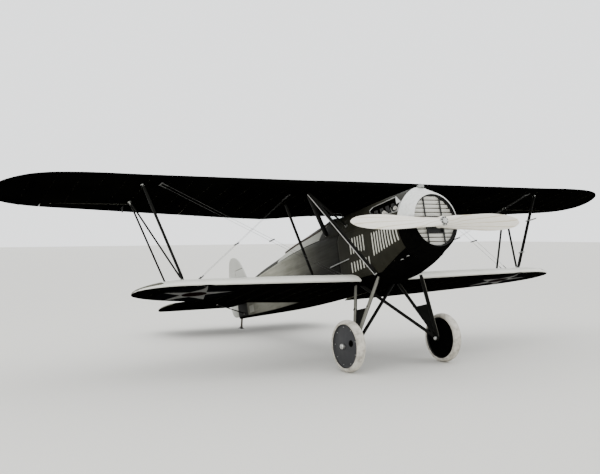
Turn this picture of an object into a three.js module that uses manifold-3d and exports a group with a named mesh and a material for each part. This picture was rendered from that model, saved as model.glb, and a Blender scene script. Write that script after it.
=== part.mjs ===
// Single-seat biplane of the 1920s, parked with its tail down.
// Millimetres. The group is the parked aircraft: nose towards -Y, port side +X, +Z up, ground at Z = 0.
// Inside it the airframe is drawn level about the wheel axle and pitched nose up by PARK_PITCH.
import * as THREE from "three";
import { mergeVertices } from "three/addons/utils/BufferGeometryUtils.js";
import Module from "manifold-3d";

const wasm = await Module();
wasm.setup();

// Main dimensions
const PARK_PITCH = 12.5;
const WHEEL_R = 381;
const NOSE_Z = 1590;
const THRUST_Z = 1535;
const PROP_Y = -1385;
const PROP_R = 1515;
const PROP_TILT = 1.25;
const UPPER_HALF_SPAN = 5640;
const LOWER_HALF_SPAN = 3880;
const TAIL_HALF_SPAN = 1860;
const FRAME_Y = -2491.2;
const GAP = 0.3;
const JOINT_GAP = 8;
const SKIN = 12;
const FRONT = -1290;
const NOSE_END = -1000;
const COWL_END = 640;
const COCKPIT = [1290, 2960];
const TAIL_END = 5430;
const WIDE = 700;
const TALL = 2600;

// Solids
function solid(geometry) {
  const g = geometry.index ? geometry.toNonIndexed() : geometry;
  const bare = new THREE.BufferGeometry().setAttribute("position", g.getAttribute("position"));
  const merged = mergeVertices(bare, 1e-3);
  return new wasm.Manifold(
    new wasm.Mesh({
      numProp: 3,
      vertProperties: merged.attributes.position.array,
      triVerts: new Uint32Array(merged.index.array),
    }),
  );
}

function geometryOf(shape) {
  const m = shape.getMesh();
  const position = new Float32Array(m.numVert * 3);
  for (let i = 0; i < m.numVert; i++) {
    position.set(m.vertProperties.subarray(i * m.numProp, i * m.numProp + 3), i * 3);
  }
  return new THREE.BufferGeometry()
    .setAttribute("position", new THREE.BufferAttribute(position, 3))
    .setIndex(new THREE.BufferAttribute(new Uint32Array(m.triVerts), 1));
}

// A closed body through rings of equal length, each a list of [x, y, z].
function loft(rings) {
  const n = rings[0].length;
  const points = rings.flat();
  const index = [];
  for (let s = 0; s + 1 < rings.length; s++) {
    for (let i = 0; i < n; i++) {
      const a = s * n + i;
      const b = s * n + ((i + 1) % n);
      index.push(a, b, b + n, a, b + n, a + n);
    }
  }
  for (const [s, flip] of [[0, true], [rings.length - 1, false]]) {
    const ring = rings[s];
    const middle = [0, 1, 2].map((k) => ring.reduce((sum, p) => sum + p[k], 0) / n);
    const c = points.push(middle) - 1;
    for (let i = 0; i < n; i++) {
      const a = s * n + i;
      const b = s * n + ((i + 1) % n);
      if (flip) index.push(c, b, a);
      else index.push(c, a, b);
    }
  }
  const g = new THREE.BufferGeometry();
  g.setAttribute("position", new THREE.BufferAttribute(new Float32Array(points.flat()), 3));
  g.setIndex(index);
  const made = solid(g);
  if (made.volume() > 0) return made;
  const back = [];
  for (let i = 0; i < index.length; i += 3) back.push(index[i], index[i + 2], index[i + 1]);
  g.setIndex(back);
  return solid(g);
}

function box(x0, x1, y0, y1, z0, z1) {
  return solid(
    new THREE.BoxGeometry(x1 - x0, y1 - y0, z1 - z0).translate((x0 + x1) / 2, (y0 + y1) / 2, (z0 + z1) / 2),
  );
}

const V = (p) => new THREE.Vector3(...p);

// A straight bar of oval section between two points; its chord lies along Y as nearly as it can.
function bar(from, to, chord, thick, sides = 10) {
  const along = V(to).sub(V(from)).normalize();
  const fore = Math.abs(along.y) > 0.99 ? new THREE.Vector3(0, 0, 1) : new THREE.Vector3(0, 1, 0);
  fore.addScaledVector(along, -fore.dot(along)).normalize();
  const side = new THREE.Vector3().crossVectors(along, fore);
  const ring = (at) =>
    Array.from({ length: sides }, (_, i) => {
      const a = (2 * Math.PI * i) / sides;
      return V(at)
        .addScaledVector(fore, (Math.cos(a) * chord) / 2)
        .addScaledVector(side, (Math.sin(a) * thick) / 2)
        .toArray();
    });
  return loft([ring(from), ring(to)]);
}

// A round body about an axis through `at`; the profile is pairs of radius and distance along the axis.
function turned(profile, at, axis, segments = 32) {
  const g = new THREE.LatheGeometry(profile.map(([r, h]) => new THREE.Vector2(r, h)), segments);
  if (axis === "x") g.rotateZ(-Math.PI / 2);
  if (axis === "z") g.rotateX(Math.PI / 2);
  g.translate(...at);
  const flat = g.toNonIndexed();
  const made = solid(flat);
  if (made.volume() > 0) return made;
  const p = flat.getAttribute("position").array;
  for (let i = 0; i < p.length; i += 9) {
    for (let k = 0; k < 3; k++) [p[i + 3 + k], p[i + 6 + k]] = [p[i + 6 + k], p[i + 3 + k]];
  }
  return solid(flat);
}

function cylinder(r, from, to, at, axis, segments) {
  return turned([[0, from], [r, from], [r, to], [0, to]], at, axis, segments);
}

function join(...shapes) {
  return shapes.flat().reduce((a, b) => a.add(b));
}

function biggest(shape) {
  return shape.decompose().reduce((a, b) => (a.volume() > b.volume() ? a : b));
}

// What is left of a piece once its neighbours, grown by the gap on every side, are taken away.
function seat(piece, neighbours, gap = GAP) {
  let left = piece;
  for (const n of neighbours) {
    left = left.subtract(n);
    for (const d of [[1, 0, 0], [-1, 0, 0], [0, 1, 0], [0, -1, 0], [0, 0, 1], [0, 0, -1]]) {
      left = left.subtract(n.translate(d.map((k) => k * gap)));
    }
  }
  return biggest(left);
}

const mirror = (shape) => shape.mirror([1, 0, 0]);

// The group
const aircraft = new THREE.Group();
const airframe = new THREE.Group();
airframe.position.set(0, FRAME_Y, WHEEL_R);
airframe.rotation.x = (-PARK_PITCH * Math.PI) / 180;
aircraft.add(airframe);

function put(name, shape, colour) {
  const mesh = new THREE.Mesh(
    geometryOf(shape),
    new THREE.MeshStandardMaterial({ color: colour, roughness: 0.6, flatShading: true }),
  );
  mesh.name = name;
  airframe.add(mesh);
}

const OLIVE = 0x5b5a45;
const DARK = 0x2b2c2a;
const SILVER = 0xc9cbc8;
const STEEL = 0x8d9090;
const PALE = 0xdad8cc;
const RUBBER = 0x8d8a82;
const BLACK = 0x1c1c1c;

// Fuselage sections: an upper and a lower half super-ellipse that meet at the widest height
const SECTIONS = [
  { y: -1290, w: 386, mid: NOSE_Z, up: 386, upN: 2, down: 386, downN: 2 },
  { y: -1272, w: 408, mid: NOSE_Z, up: 408, upN: 2, down: 408, downN: 2 },
  { y: -1230, w: 430, mid: NOSE_Z, up: 432, upN: 2, down: 436, downN: 2 },
  { y: -1150, w: 450, mid: 1592, up: 476, upN: 1.9, down: 472, downN: 2 },
  { y: -1020, w: 466, mid: 1600, up: 545, upN: 1.7, down: 536, downN: 2.1 },
  { y: -820, w: 468, mid: 1610, up: 558, upN: 1.5, down: 600, downN: 2.6 },
  { y: -560, w: 455, mid: 1620, up: 556, upN: 1.4, down: 660, downN: 3.4 },
  { y: -290, w: 442, mid: 1635, up: 553, upN: 1.35, down: 700, downN: 5 },
  { y: 200, w: 438, mid: 1655, up: 540, upN: 1.35, down: 735, downN: 8 },
  { y: 760, w: 435, mid: 1670, up: 528, upN: 1.4, down: 757, downN: 10 },
  { y: 1500, w: 430, mid: 1690, up: 500, upN: 1.5, down: 785, downN: 10 },
  { y: 2300, w: 395, mid: 1690, up: 400, upN: 1.7, down: 788, downN: 10 },
  { y: 3100, w: 325, mid: 1680, up: 265, upN: 1.8, down: 765, downN: 10 },
  { y: 3900, w: 232, mid: 1650, up: 215, upN: 1.7, down: 702, downN: 8 },
  { y: 4700, w: 135, mid: 1610, up: 130, upN: 1.7, down: 622, downN: 6 },
  { y: 5430, w: 44, mid: 1570, up: 60, upN: 1.8, down: 545, downN: 5 },
];
const AROUND = 28;
for (const y of [NOSE_END, COWL_END, ...COCKPIT]) {
  SECTIONS.splice(SECTIONS.findIndex((s) => s.y > y), 0, sectionAt(y));
}

function halfWidth(y) {
  return sectionAt(y).w;
}

function sectionAt(y) {
  const i = Math.max(1, SECTIONS.findIndex((s) => s.y >= y));
  const a = SECTIONS[i - 1];
  const b = SECTIONS[i];
  const t = (y - a.y) / (b.y - a.y);
  return Object.fromEntries(Object.keys(a).map((k) => [k, a[k] + t * (b[k] - a[k])]));
}

function sectionRing(s, inset) {
  return Array.from({ length: AROUND }, (_, i) => {
    const a = (2 * Math.PI * i) / AROUND;
    const [h, n] = Math.sin(a) >= 0 ? [s.up, s.upN] : [s.down, s.downN];
    const c = Math.cos(a);
    const v = Math.sin(a);
    return [
      (s.w - inset) * Math.sign(c) * Math.abs(c) ** (2 / n),
      s.y,
      s.mid + (h - inset) * Math.sign(v) * Math.abs(v) ** (2 / n),
    ];
  });
}

function body(y0, y1, inset) {
  const inner = SECTIONS.filter((s) => s.y > y0 + 1 && s.y < y1 - 1);
  return loft([sectionAt(y0), ...inner, sectionAt(y1)].map((s) => sectionRing(s, inset)));
}

function shell(y0, y1, ends = 5) {
  return body(y0, y1, 0).subtract(body(Math.max(y0 - ends, FRONT), Math.min(y1 + ends, TAIL_END), SKIN));
}

const hull = body(FRONT, TAIL_END, 0);
const hulls = [hull, mirror(hull)];

// Nose cowl with the round radiator opening, then the engine cowl with open exhaust bays
const LIP = 18;
const OPENING_R = 374;
const noseShell = body(FRONT, NOSE_END, 0)
  .subtract(body(FRONT + LIP, NOSE_END + 10, SKIN + 4))
  .subtract(cylinder(OPENING_R, -10, 50, [0, FRONT, NOSE_Z], "y", 32));
const CAP_AT = [0, -1060, 2145];
const fillerCap = turned([[0, -40], [52, -40], [52, 14], [30, 26], [0, 26]], CAP_AT, "z", 16)
  .subtract(body(FRONT, NOSE_END + 100, SKIN));
const noseCowl = biggest(noseShell.add(fillerCap));
put("nose_cowl", noseCowl, SILVER);

const BAY = { y0: -900, y1: -30, zFront: [1895, 2085], zRear: [1930, 2075] };
function bayCut(side) {
  const x0 = side * 60;
  const x1 = side * 520;
  const ring = (x) => [
    [x, BAY.y0, BAY.zFront[0]],
    [x, BAY.y1 - 60, BAY.zRear[0]],
    [x, BAY.y1, BAY.zRear[1] - 40],
    [x, BAY.y1 - 60, BAY.zRear[1]],
    [x, BAY.y0 + 130, BAY.zFront[1]],
    [x, BAY.y0, BAY.zFront[0] + 60],
  ];
  return loft([ring(x0), ring(x1)]);
}

const cowlShell = shell(NOSE_END + GAP, COWL_END).subtract(bayCut(1)).subtract(bayCut(-1));
const SHOULDER_Z = 1780;
const COWL_SPLIT_Z = 1060;
const cowlPart = (x0, x1, z0, z1) => cowlShell.intersect(box(x0, x1, FRONT, COWL_END + 50, z0, z1));
put("cowl_top", biggest(cowlPart(-WIDE, WIDE, SHOULDER_Z, TALL)), SILVER);
put("cowl_bottom", biggest(cowlPart(-WIDE, WIDE, 0, COWL_SPLIT_Z - GAP)), DARK);

// Rows of louvres pressed out of the cowl sides; low and high are the heights of the first and last
const LOUVRES = [
  { count: 10, y0: -970, pitch: 74, low: [1392, 1240], high: [1640, 1640] },
  { count: 6, y0: -170, pitch: 78, low: [1440, 1500], high: [1700, 1740] },
  { count: 7, y0: -240, pitch: 78, low: [1090, 1120], high: [1330, 1370] },
];
const LOUVRE_OUT = 16;
const LOUVRE_WIDE = 22;

function cowlSide(side) {
  const inside = side > 0 ? [2, WIDE] : [-WIDE, -2];
  let panel = cowlPart(...inside, COWL_SPLIT_Z, SHOULDER_Z - GAP);
  for (const row of LOUVRES) {
    for (let i = 0; i < row.count; i++) {
      const t = i / (row.count - 1);
      const y = row.y0 + i * row.pitch;
      const low = row.low[0] + t * (row.low[1] - row.low[0]);
      const high = row.high[0] + t * (row.high[1] - row.high[0]);
      const sec = sectionAt(y);
      const drop = Math.min(1, Math.abs(low - sec.mid) / sec.down);
      const lowX = side * sec.w * (1 - drop ** sec.downN) ** (1 / sec.downN);
      const ring = (z, at) => [
        [at - side * SKIN, y, z],
        [at - side * SKIN, y + LOUVRE_WIDE, z],
        [at + side * LOUVRE_OUT, y + LOUVRE_WIDE, z],
        [at, y, z],
      ];
      panel = panel.add(loft([ring(low, lowX), ring(high, side * sec.w)]));
    }
  }
  return biggest(panel);
}
const cowlLeft = cowlSide(1);
const cowlRight = cowlSide(-1);
const cowlSides = [cowlLeft, mirror(cowlRight)];
put("cowl_left", cowlLeft, OLIVE);
put("cowl_right", cowlRight, OLIVE);

// Radiator with its flange on the nose cowl, and the shutters in front of it behind the lip
const SHAFT_R = 44;
const SHUTTER = { y0: FRONT + LIP + GAP, y1: -1222, rim: 388, clear: 350, slats: 13, slat: 32, hub: 96, bars: 146 };
const CORE = { y0: SHUTTER.y1 + GAP, y1: -1120, r: 398, flange: -1150 };
const core = cylinder(CORE.r, 0, CORE.y1 - CORE.y0, [0, CORE.y0, NOSE_Z], "y", 28)
  .subtract(cylinder(SHAFT_R + JOINT_GAP, -5, CORE.y1 - CORE.y0 + 5, [0, CORE.y0, THRUST_Z], "y", 16));
const flange = cylinder(2 * CORE.r, 0, 10, [0, CORE.flange, NOSE_Z], "y", 8)
  .intersect(body(FRONT, NOSE_END, 0))
  .subtract(cylinder(CORE.r - 20, -5, 15, [0, CORE.flange, NOSE_Z], "y", 28));
put("radiator_core", seat(join(core, flange), [noseCowl]), DARK);

function shutters() {
  const { y0, y1, rim, clear, slats, slat, hub, bars } = SHUTTER;
  const deep = y1 - y0;
  const pieces = [];
  const pitch = (2 * clear) / slats;
  for (let i = 0; i < slats; i++) {
    const z = -clear + (i + 0.5) * pitch;
    const reach = Math.sqrt(rim * rim - z * z) - 12;
    pieces.push(box(-reach, reach, y1 - 18, y1 - 8, NOSE_Z + z - slat / 2, NOSE_Z + z + slat / 2));
  }
  for (const x of [-bars, bars]) {
    const tall = Math.sqrt(clear * clear - bars * bars) + 10;
    pieces.push(box(x - 9, x + 9, y1 - 30, y1 - 17, NOSE_Z - tall, NOSE_Z + tall));
  }
  const ring = turned(
    [[clear, 0], [rim, 0], [rim, deep], [clear, deep], [clear, 0]],
    [0, y0, NOSE_Z],
    "y",
    28,
  );
  return biggest(join(pieces, ring).subtract(cylinder(hub, -10, deep + 10, [0, y0, THRUST_Z], "y", 12)));
}
put("radiator_shutters", shutters(), PALE);

// Engine: a block on two bearers with two banks of cylinders and their exhaust stubs
const ENGINE = { y0: -1060, y1: 430, w: 150, z0: 1280, z1: 1560 };
const BANK = { lean: 0.52, tall: 350, half: 85, foot: 60, z: 1500, y0: -980, y1: 300 };
const FIREWALL = [COWL_END - 12, COWL_END - 2];
const BEARER = { x0: 148, x1: 186, z0: 1290, z1: 1360 };
const STUBS = { count: 6, y0: -830, pitch: 145, x: 258, z: 1978, chord: 62, thick: 46 };
function bank(side) {
  const s = Math.sin(BANK.lean);
  const c = Math.cos(BANK.lean);
  const at = (y, out, up) => [side * (BANK.foot + up * s + out * c), y, BANK.z + up * c - out * s];
  const ring = (y) => [
    at(y, -BANK.half, 0),
    at(y, BANK.half, 0),
    at(y, BANK.half, BANK.tall),
    at(y, -BANK.half, BANK.tall),
  ];
  const stubs = Array.from({ length: STUBS.count }, (_, i) => {
    const y = STUBS.y0 + i * STUBS.pitch;
    return bar(at(y, 0, BANK.tall - 20), [side * STUBS.x, y, STUBS.z], STUBS.chord, STUBS.thick, 8);
  });
  return join(loft([ring(BANK.y0), ring(BANK.y1)]), stubs);
}
const SHAFT = { y0: ENGINE.y0 + 10, y1: PROP_Y + 62 + GAP, flange: 70, thick: 14 };
put(
  "engine",
  join(
    box(-ENGINE.w, ENGINE.w, ENGINE.y0, ENGINE.y1, ENGINE.z0, ENGINE.z1),
    bank(1),
    bank(-1),
    [1, -1].map((side) => {
      const x = [side * BEARER.x0, side * BEARER.x1].sort((p, q) => p - q);
      return box(...x, ENGINE.y0 + 60, FIREWALL[0] - GAP, BEARER.z0, BEARER.z1);
    }),
    turned(
      [
        [0, SHAFT.y0],
        [SHAFT_R, SHAFT.y0],
        [SHAFT_R, SHAFT.y1 + SHAFT.thick + 8],
        [SHAFT.flange, SHAFT.y1 + SHAFT.thick],
        [SHAFT.flange, SHAFT.y1],
        [0, SHAFT.y1],
      ],
      [0, 0, THRUST_Z],
      "y",
      20,
    ),
    box(-70, 70, ENGINE.y0, ENGINE.y0 + 160, ENGINE.z1 - 20, THRUST_Z + 60),
  ),
  BLACK,
);
put("firewall", body(...FIREWALL, SKIN + 1), STEEL);

// Propeller on its hub, turning about the thrust line
const BLADE = [
  { r: 40, chord: 120, thick: 84, twist: 60 },
  { r: 190, chord: 150, thick: 74, twist: 52 },
  { r: 360, chord: 200, thick: 50, twist: 42 },
  { r: 640, chord: 226, thick: 36, twist: 32 },
  { r: 930, chord: 236, thick: 27, twist: 25 },
  { r: 1200, chord: 210, thick: 19, twist: 20 },
  { r: 1400, chord: 150, thick: 13, twist: 17 },
  { r: 1480, chord: 84, thick: 9, twist: 16 },
  { r: PROP_R, chord: 20, thick: 5, twist: 16 },
];
function blade(side) {
  return loft(
    BLADE.map((s) =>
      Array.from({ length: 12 }, (_, i) => {
        const a = (2 * Math.PI * i) / 12;
        const across = (Math.cos(a) * s.chord) / 2;
        const deep = (Math.sin(a) * s.thick) / 2;
        const t = (s.twist * Math.PI) / 180;
        return [
          side * s.r,
          deep * Math.cos(t) - side * across * Math.sin(t),
          side * deep * Math.sin(t) + across * Math.cos(t),
        ];
      }),
    ),
  );
}
const PROP_AT = [0, PROP_Y, THRUST_Z];
const boss = turned([[0, -62], [92, -62], [98, -52], [98, 56], [90, 62], [0, 62]], [0, 0, 0], "y", 24);
const propeller = join(blade(1), blade(-1), boss);
put("propeller", propeller.rotate([0, -PROP_TILT, 0]).translate(PROP_AT), PALE);
const hubProfile = [[0, -101], [46, -101], [60, -88], [76, -80], [88, -76], [88, -62 - GAP], [0, -62 - GAP]];
put("propeller_hub", turned(hubProfile, PROP_AT, "y", 24), STEEL);

// Fuselage behind the cowl: belly, sides and decks round the cockpit
const rearShell = shell(COWL_END + GAP, TAIL_END);

// The half-space above a share of the section's height, as one loft along the fuselage
function above(y0, y1, height) {
  const ring = (y) => {
    const z = height(sectionAt(y));
    return [[-WIDE, y, z], [WIDE, y, z], [WIDE, y, TALL], [-WIDE, y, TALL]];
  };
  const ys = [y0, ...SECTIONS.map((s) => s.y).filter((y) => y > y0 + 1 && y < y1 - 1), y1];
  return loft(ys.map(ring));
}
const BELLY_DEEP = 95;
const bellyTop = (s) => s.mid - s.down + BELLY_DEEP;
const deckFoot = (s) => s.mid + 0.28 * s.up;
const aboveBelly = above(FRONT, TAIL_END, bellyTop);
const aboveDeck = above(FRONT, TAIL_END, deckFoot);

// The cockpit opening seen from above
const RIM = [
  { y: COCKPIT[0], half: 70 },
  { y: COCKPIT[0] + 70, half: 175 },
  { y: COCKPIT[0] + 220, half: 240 },
  { y: 2000, half: 262 },
  { y: COCKPIT[1] - 320, half: 232 },
  { y: COCKPIT[1] - 90, half: 150 },
  { y: COCKPIT[1], half: 60 },
];
const rimLoop = (z) => [...RIM.map((s) => [s.half, s.y, z]), ...RIM.map((s) => [-s.half, s.y, z]).reverse()];
const opening = loft([rimLoop(1730), rimLoop(TALL)]);

put("fuselage_belly", biggest(rearShell.subtract(aboveBelly)), OLIVE);
for (const [name, side] of [["left", 1], ["right", -1]]) {
  const x = side > 0 ? [1, WIDE] : [-WIDE, -1];
  const half = box(...x, FRONT, TAIL_END + 10, 0, TALL);
  const wall = rearShell
    .intersect(aboveBelly.translate([0, 0, GAP]))
    .subtract(aboveDeck)
    .subtract(opening)
    .intersect(half);
  put(`fuselage_side_${name}`, biggest(wall), OLIVE);
  const coaming = rearShell
    .intersect(aboveDeck.translate([0, 0, GAP]))
    .subtract(opening)
    .intersect(half)
    .intersect(box(-WIDE, WIDE, COCKPIT[0] + GAP, COCKPIT[1] - GAP, 0, TALL));
  put(`cockpit_coaming_${name}`, biggest(coaming), OLIVE);
}
const deck = rearShell.intersect(aboveDeck.translate([0, 0, GAP]));
put("front_deck", biggest(deck.intersect(box(-WIDE, WIDE, 0, COCKPIT[0], 0, TALL))), SILVER);
put("turtledeck", biggest(deck.intersect(box(-WIDE, WIDE, COCKPIT[1], TAIL_END + 10, 0, TALL))), OLIVE);
const BULKHEAD = [COCKPIT[1] + 2, COCKPIT[1] + 14];
put("rear_bulkhead", body(...BULKHEAD, SKIN + 1), PALE);

// Cockpit furniture
const FLOOR_Z = 1040;
const FLOOR_TOP = FLOOR_Z + 14;
function floorHalf(y) {
  return halfWidth(y) - SKIN - 16;
}
put(
  "cockpit_floor",
  loft(
    [FIREWALL[1] + GAP, 1500, 2300, BULKHEAD[0] - GAP].map((y) => [
      [-floorHalf(y), y, FLOOR_Z],
      [floorHalf(y), y, FLOOR_Z],
      [floorHalf(y), y, FLOOR_TOP],
      [-floorHalf(y), y, FLOOR_TOP],
    ]),
  ),
  PALE,
);
const SEAT = { y0: 2250, y1: 2680, half: 210, pan: 1330, top: 1760 };
put(
  "seat",
  join(
    box(-SEAT.half, SEAT.half, SEAT.y0, SEAT.y1, SEAT.pan, SEAT.pan + 16),
    box(-SEAT.half, SEAT.half, SEAT.y1 - 16, SEAT.y1, SEAT.pan, SEAT.top),
    box(-SEAT.half, -SEAT.half + 12, SEAT.y0 + 120, SEAT.y1, SEAT.pan, SEAT.pan + 170),
    box(SEAT.half - 12, SEAT.half, SEAT.y0 + 120, SEAT.y1, SEAT.pan, SEAT.pan + 170),
    box(-170, -150, SEAT.y0 + 60, SEAT.y1 - 20, FLOOR_TOP + GAP, SEAT.pan),
    box(150, 170, SEAT.y0 + 60, SEAT.y1 - 20, FLOOR_TOP + GAP, SEAT.pan),
  ),
  STEEL,
);
put(
  "seat_cushion",
  box(-SEAT.half + 16, SEAT.half - 16, SEAT.y0 + 6, SEAT.y1 - 20, SEAT.pan + 16 + GAP, SEAT.pan + 76),
  DARK,
);
const PANEL = { y0: 1470, y1: 1482, z0: 1640 };
const panelSpace = box(-WIDE, WIDE, 0, COCKPIT[1], PANEL.z0, TALL);
const panelShape = body(PANEL.y0, PANEL.y1, SKIN + 1).intersect(panelSpace);
put("instrument_panel", biggest(panelShape), DARK);
const STICK_FOOT = [0, 2060, FLOOR_TOP + GAP];
const stickProfile = [[0, 0], [40, 0], [30, 46], [14, 56], [12, 556], [20, 566], [18, 666], [0, 672]];
put("control_column", turned(stickProfile, STICK_FOOT, "z", 12), STEEL);

// A padded roll round the rim of the cockpit
const PAD_R = 24;
function padHalf(side) {
  const path = [{ y: COCKPIT[0] - 4, half: -5 }, ...RIM, { y: COCKPIT[1] + 4, half: -5 }].map((s) => {
    const x = s.half + 4;
    const sec = sectionAt(s.y);
    const z = sec.mid + sec.up * (1 - Math.min(1, Math.abs(x) / sec.w) ** sec.upN) ** (1 / sec.upN);
    return V([side * x, s.y, z + PAD_R * 0.55]);
  });
  const curve = new THREE.CatmullRomCurve3(path);
  const steps = 14;
  const loops = [];
  for (let i = 0; i <= steps; i++) {
    const p = curve.getPoint(i / steps);
    const t = curve.getTangent(i / steps);
    const out = new THREE.Vector3(0, 0, 1).addScaledVector(t, -t.z).normalize();
    const across = new THREE.Vector3().crossVectors(t, out);
    loops.push(
      Array.from({ length: 6 }, (_, k) => {
        const a = (2 * Math.PI * (k + 0.5)) / 6;
        return p
          .clone()
          .addScaledVector(out, PAD_R * Math.sin(a))
          .addScaledVector(across, PAD_R * Math.cos(a))
          .toArray();
      }),
    );
  }
  return loft(loops);
}
put("cockpit_padding", seat(join(padHalf(1), padHalf(-1)), hulls), DARK);

// Wings: rings of one airfoil with a flat, slightly hollow underside
const AIRFOIL_STEPS = [0, 0.02, 0.07, 0.18, 0.36, 0.6, 0.82, 1];
const EDGE = 6;
function airfoil(station, u) {
  const { le, te, thick, base } = station;
  const y = le + u * (te - le);
  const bottom = base(y) - 42 * u ** 3 * ((te - le) / 1700);
  const nose = 0.3 * thick * (1 - Math.min(1, u / 0.14)) ** 2;
  const hump = (Math.sqrt(u) * (1 - u)) / 0.3849;
  return [y, bottom + nose, bottom + EDGE * u + 0.3 * thick * (1 - u) + 0.8 * thick * hump];
}
function wingRing(station) {
  const low = [];
  const high = [];
  for (const u of AIRFOIL_STEPS) {
    const [y, zLow, zHigh] = airfoil(station, u);
    low.push([station.x, y, zLow]);
    if (u > 0) high.push([station.x, y, zHigh]);
  }
  return [...low, ...high.reverse()];
}
function stationAt(stations, x) {
  const i = Math.max(1, stations.findIndex((s) => s.x >= x));
  const a = stations[i - 1];
  const b = stations[i];
  const t = (x - a.x) / (b.x - a.x);
  const mix = (k) => a[k] + t * (b[k] - a[k]);
  const base = (y) => a.base(y) + t * (b.base(y) - a.base(y));
  return { x, le: mix("le"), te: mix("te"), thick: mix("thick"), base };
}

// The upper wing's underside starts at the height `lead` and falls towards the tail by `fall`
const UPPER = [
  { x: 0, le: 0, te: 1560, thick: 205, lead: 2382, fall: 0.004 },
  { x: 350, le: 0, te: 1575, thick: 205, lead: 2382, fall: 0.005 },
  { x: 650, le: 0, te: 1640, thick: 207, lead: 2382, fall: 0.006 },
  { x: 950, le: 0, te: 1735, thick: 208, lead: 2382, fall: 0.007 },
  { x: 1250, le: 0, te: 1765, thick: 205, lead: 2382, fall: 0.008 },
  { x: 2742, le: 0, te: 1560, thick: 152, lead: 2422, fall: 0.03 },
  { x: 3800, le: 0, te: 1415, thick: 112, lead: 2452, fall: 0.047 },
  { x: 4400, le: 5, te: 1330, thick: 98, lead: 2466, fall: 0.056 },
  { x: 4908, le: 90, te: 1255, thick: 84, lead: 2474, fall: 0.0625 },
  { x: 5200, le: 200, te: 1190, thick: 68, lead: 2476, fall: 0.0625 },
  { x: 5400, le: 330, te: 1110, thick: 52, lead: 2477, fall: 0.0625 },
  { x: 5540, le: 480, te: 1010, thick: 38, lead: 2477, fall: 0.0625 },
  { x: 5610, le: 610, te: 910, thick: 28, lead: 2476, fall: 0.0625 },
  { x: UPPER_HALF_SPAN, le: 720, te: 800, thick: 16, lead: 2475, fall: 0.0625 },
].map((s) => ({ ...s, base: (y) => s.lead - s.fall * y }));
const upperHalf = loft(UPPER.map(wingRing));
const upperFull = biggest(
  loft([...UPPER.slice(1).reverse().map((s) => wingRing({ ...s, x: -s.x })), ...UPPER.map(wingRing)]),
);

// Ailerons with rounded noses, each on three hinge lugs of the wing
const AILERON = { x0: 2750, x1: 4900, y: 1140 };
const PIN_R = 5;
const BORE_R = 5.8;
const PIN_SIDES = 8;
function hingePoint(stations, x, y) {
  const s = stationAt(stations, x);
  const [, low, high] = airfoil(s, (y - s.le) / (s.te - s.le));
  return { x, y, z: (low + high) / 2, r: (high - low) / 2 };
}
const aileronAxis = [AILERON.x0, AILERON.x1].map((x) => hingePoint(UPPER, x, AILERON.y));
function along(ends, t) {
  return Object.fromEntries(Object.keys(ends[0]).map((k) => [k, ends[0][k] + t * (ends[1][k] - ends[0][k])]));
}
function roller(ends, extra, sides = 12) {
  const ring = (e) =>
    Array.from({ length: sides }, (_, i) => {
      const a = (2 * Math.PI * i) / sides;
      return [e.x, e.y + (e.r + extra) * Math.cos(a), e.z + (e.r + extra) * Math.sin(a)];
    });
  return loft([ring(ends[0]), ring(ends[1])]);
}
function behind(ends, extra) {
  const ring = (e) => [
    [e.x, e.y, e.z - 400],
    [e.x, e.y + 1500, e.z - 400],
    [e.x, e.y + 1500, e.z + 400],
    [e.x, e.y, e.z + 400],
  ];
  return loft([ring({ ...ends[0], x: ends[0].x - extra }), ring({ ...ends[1], x: ends[1].x + extra })]);
}
const aileronCut = roller(
  [{ ...aileronAxis[0], x: AILERON.x0 - JOINT_GAP }, { ...aileronAxis[1], x: AILERON.x1 + JOINT_GAP }],
  JOINT_GAP,
).add(behind(aileronAxis, JOINT_GAP));
const LUG_AT = [0.06, 0.5, 0.94];
const LUG_W = 12;
const SLOT_W = 26;
const PIN_HALF = SLOT_W / 2 + 14;
function lug(point, reach) {
  const at = [point.x, point.y, point.z];
  return join(
    box(point.x - LUG_W / 2, point.x + LUG_W / 2, point.y - reach, point.y, point.z - 6, point.z + 6),
    cylinder(8, -LUG_W / 2, LUG_W / 2, at, "x", PIN_SIDES),
    cylinder(PIN_R, -PIN_HALF, PIN_HALF, at, "x", PIN_SIDES),
  );
}
function slot(point, deep) {
  return join(
    box(point.x - SLOT_W / 2, point.x + SLOT_W / 2, point.y - deep, point.y + 16, point.z - 60, point.z + 60),
    cylinder(BORE_R, -PIN_HALF - 0.5, PIN_HALF + 0.5, [point.x, point.y, point.z], "x", PIN_SIDES),
  );
}
let aileron = upperHalf.intersect(behind(aileronAxis, 0)).add(roller(aileronAxis, -0.5));
let upperWing = upperFull.subtract(aileronCut).subtract(mirror(aileronCut));
for (const t of LUG_AT) {
  const p = along(aileronAxis, t);
  aileron = aileron.subtract(slot(p, p.r + 4));
  const l = lug(p, p.r + JOINT_GAP + 6);
  upperWing = upperWing.add(l).add(mirror(l));
}
const HORN = { x: 3716, y: 1215, w: 8 };
const hornTop = hingePoint(UPPER, HORN.x, HORN.y);
aileron = aileron.add(
  loft(
    [HORN.x - HORN.w, HORN.x + HORN.w].map((x) => [
      [x, HORN.y - 45, hornTop.z],
      [x, HORN.y + 75, hornTop.z],
      [x, HORN.y + 40, hornTop.z - hornTop.r - 85],
      [x, HORN.y + 10, hornTop.z - hornTop.r - 85],
    ]),
  ),
);
aileron = biggest(aileron);
put("upper_wing", biggest(upperWing), OLIVE);
put("aileron_left", aileron, OLIVE);
put("aileron_right", mirror(aileron), OLIVE);

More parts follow.
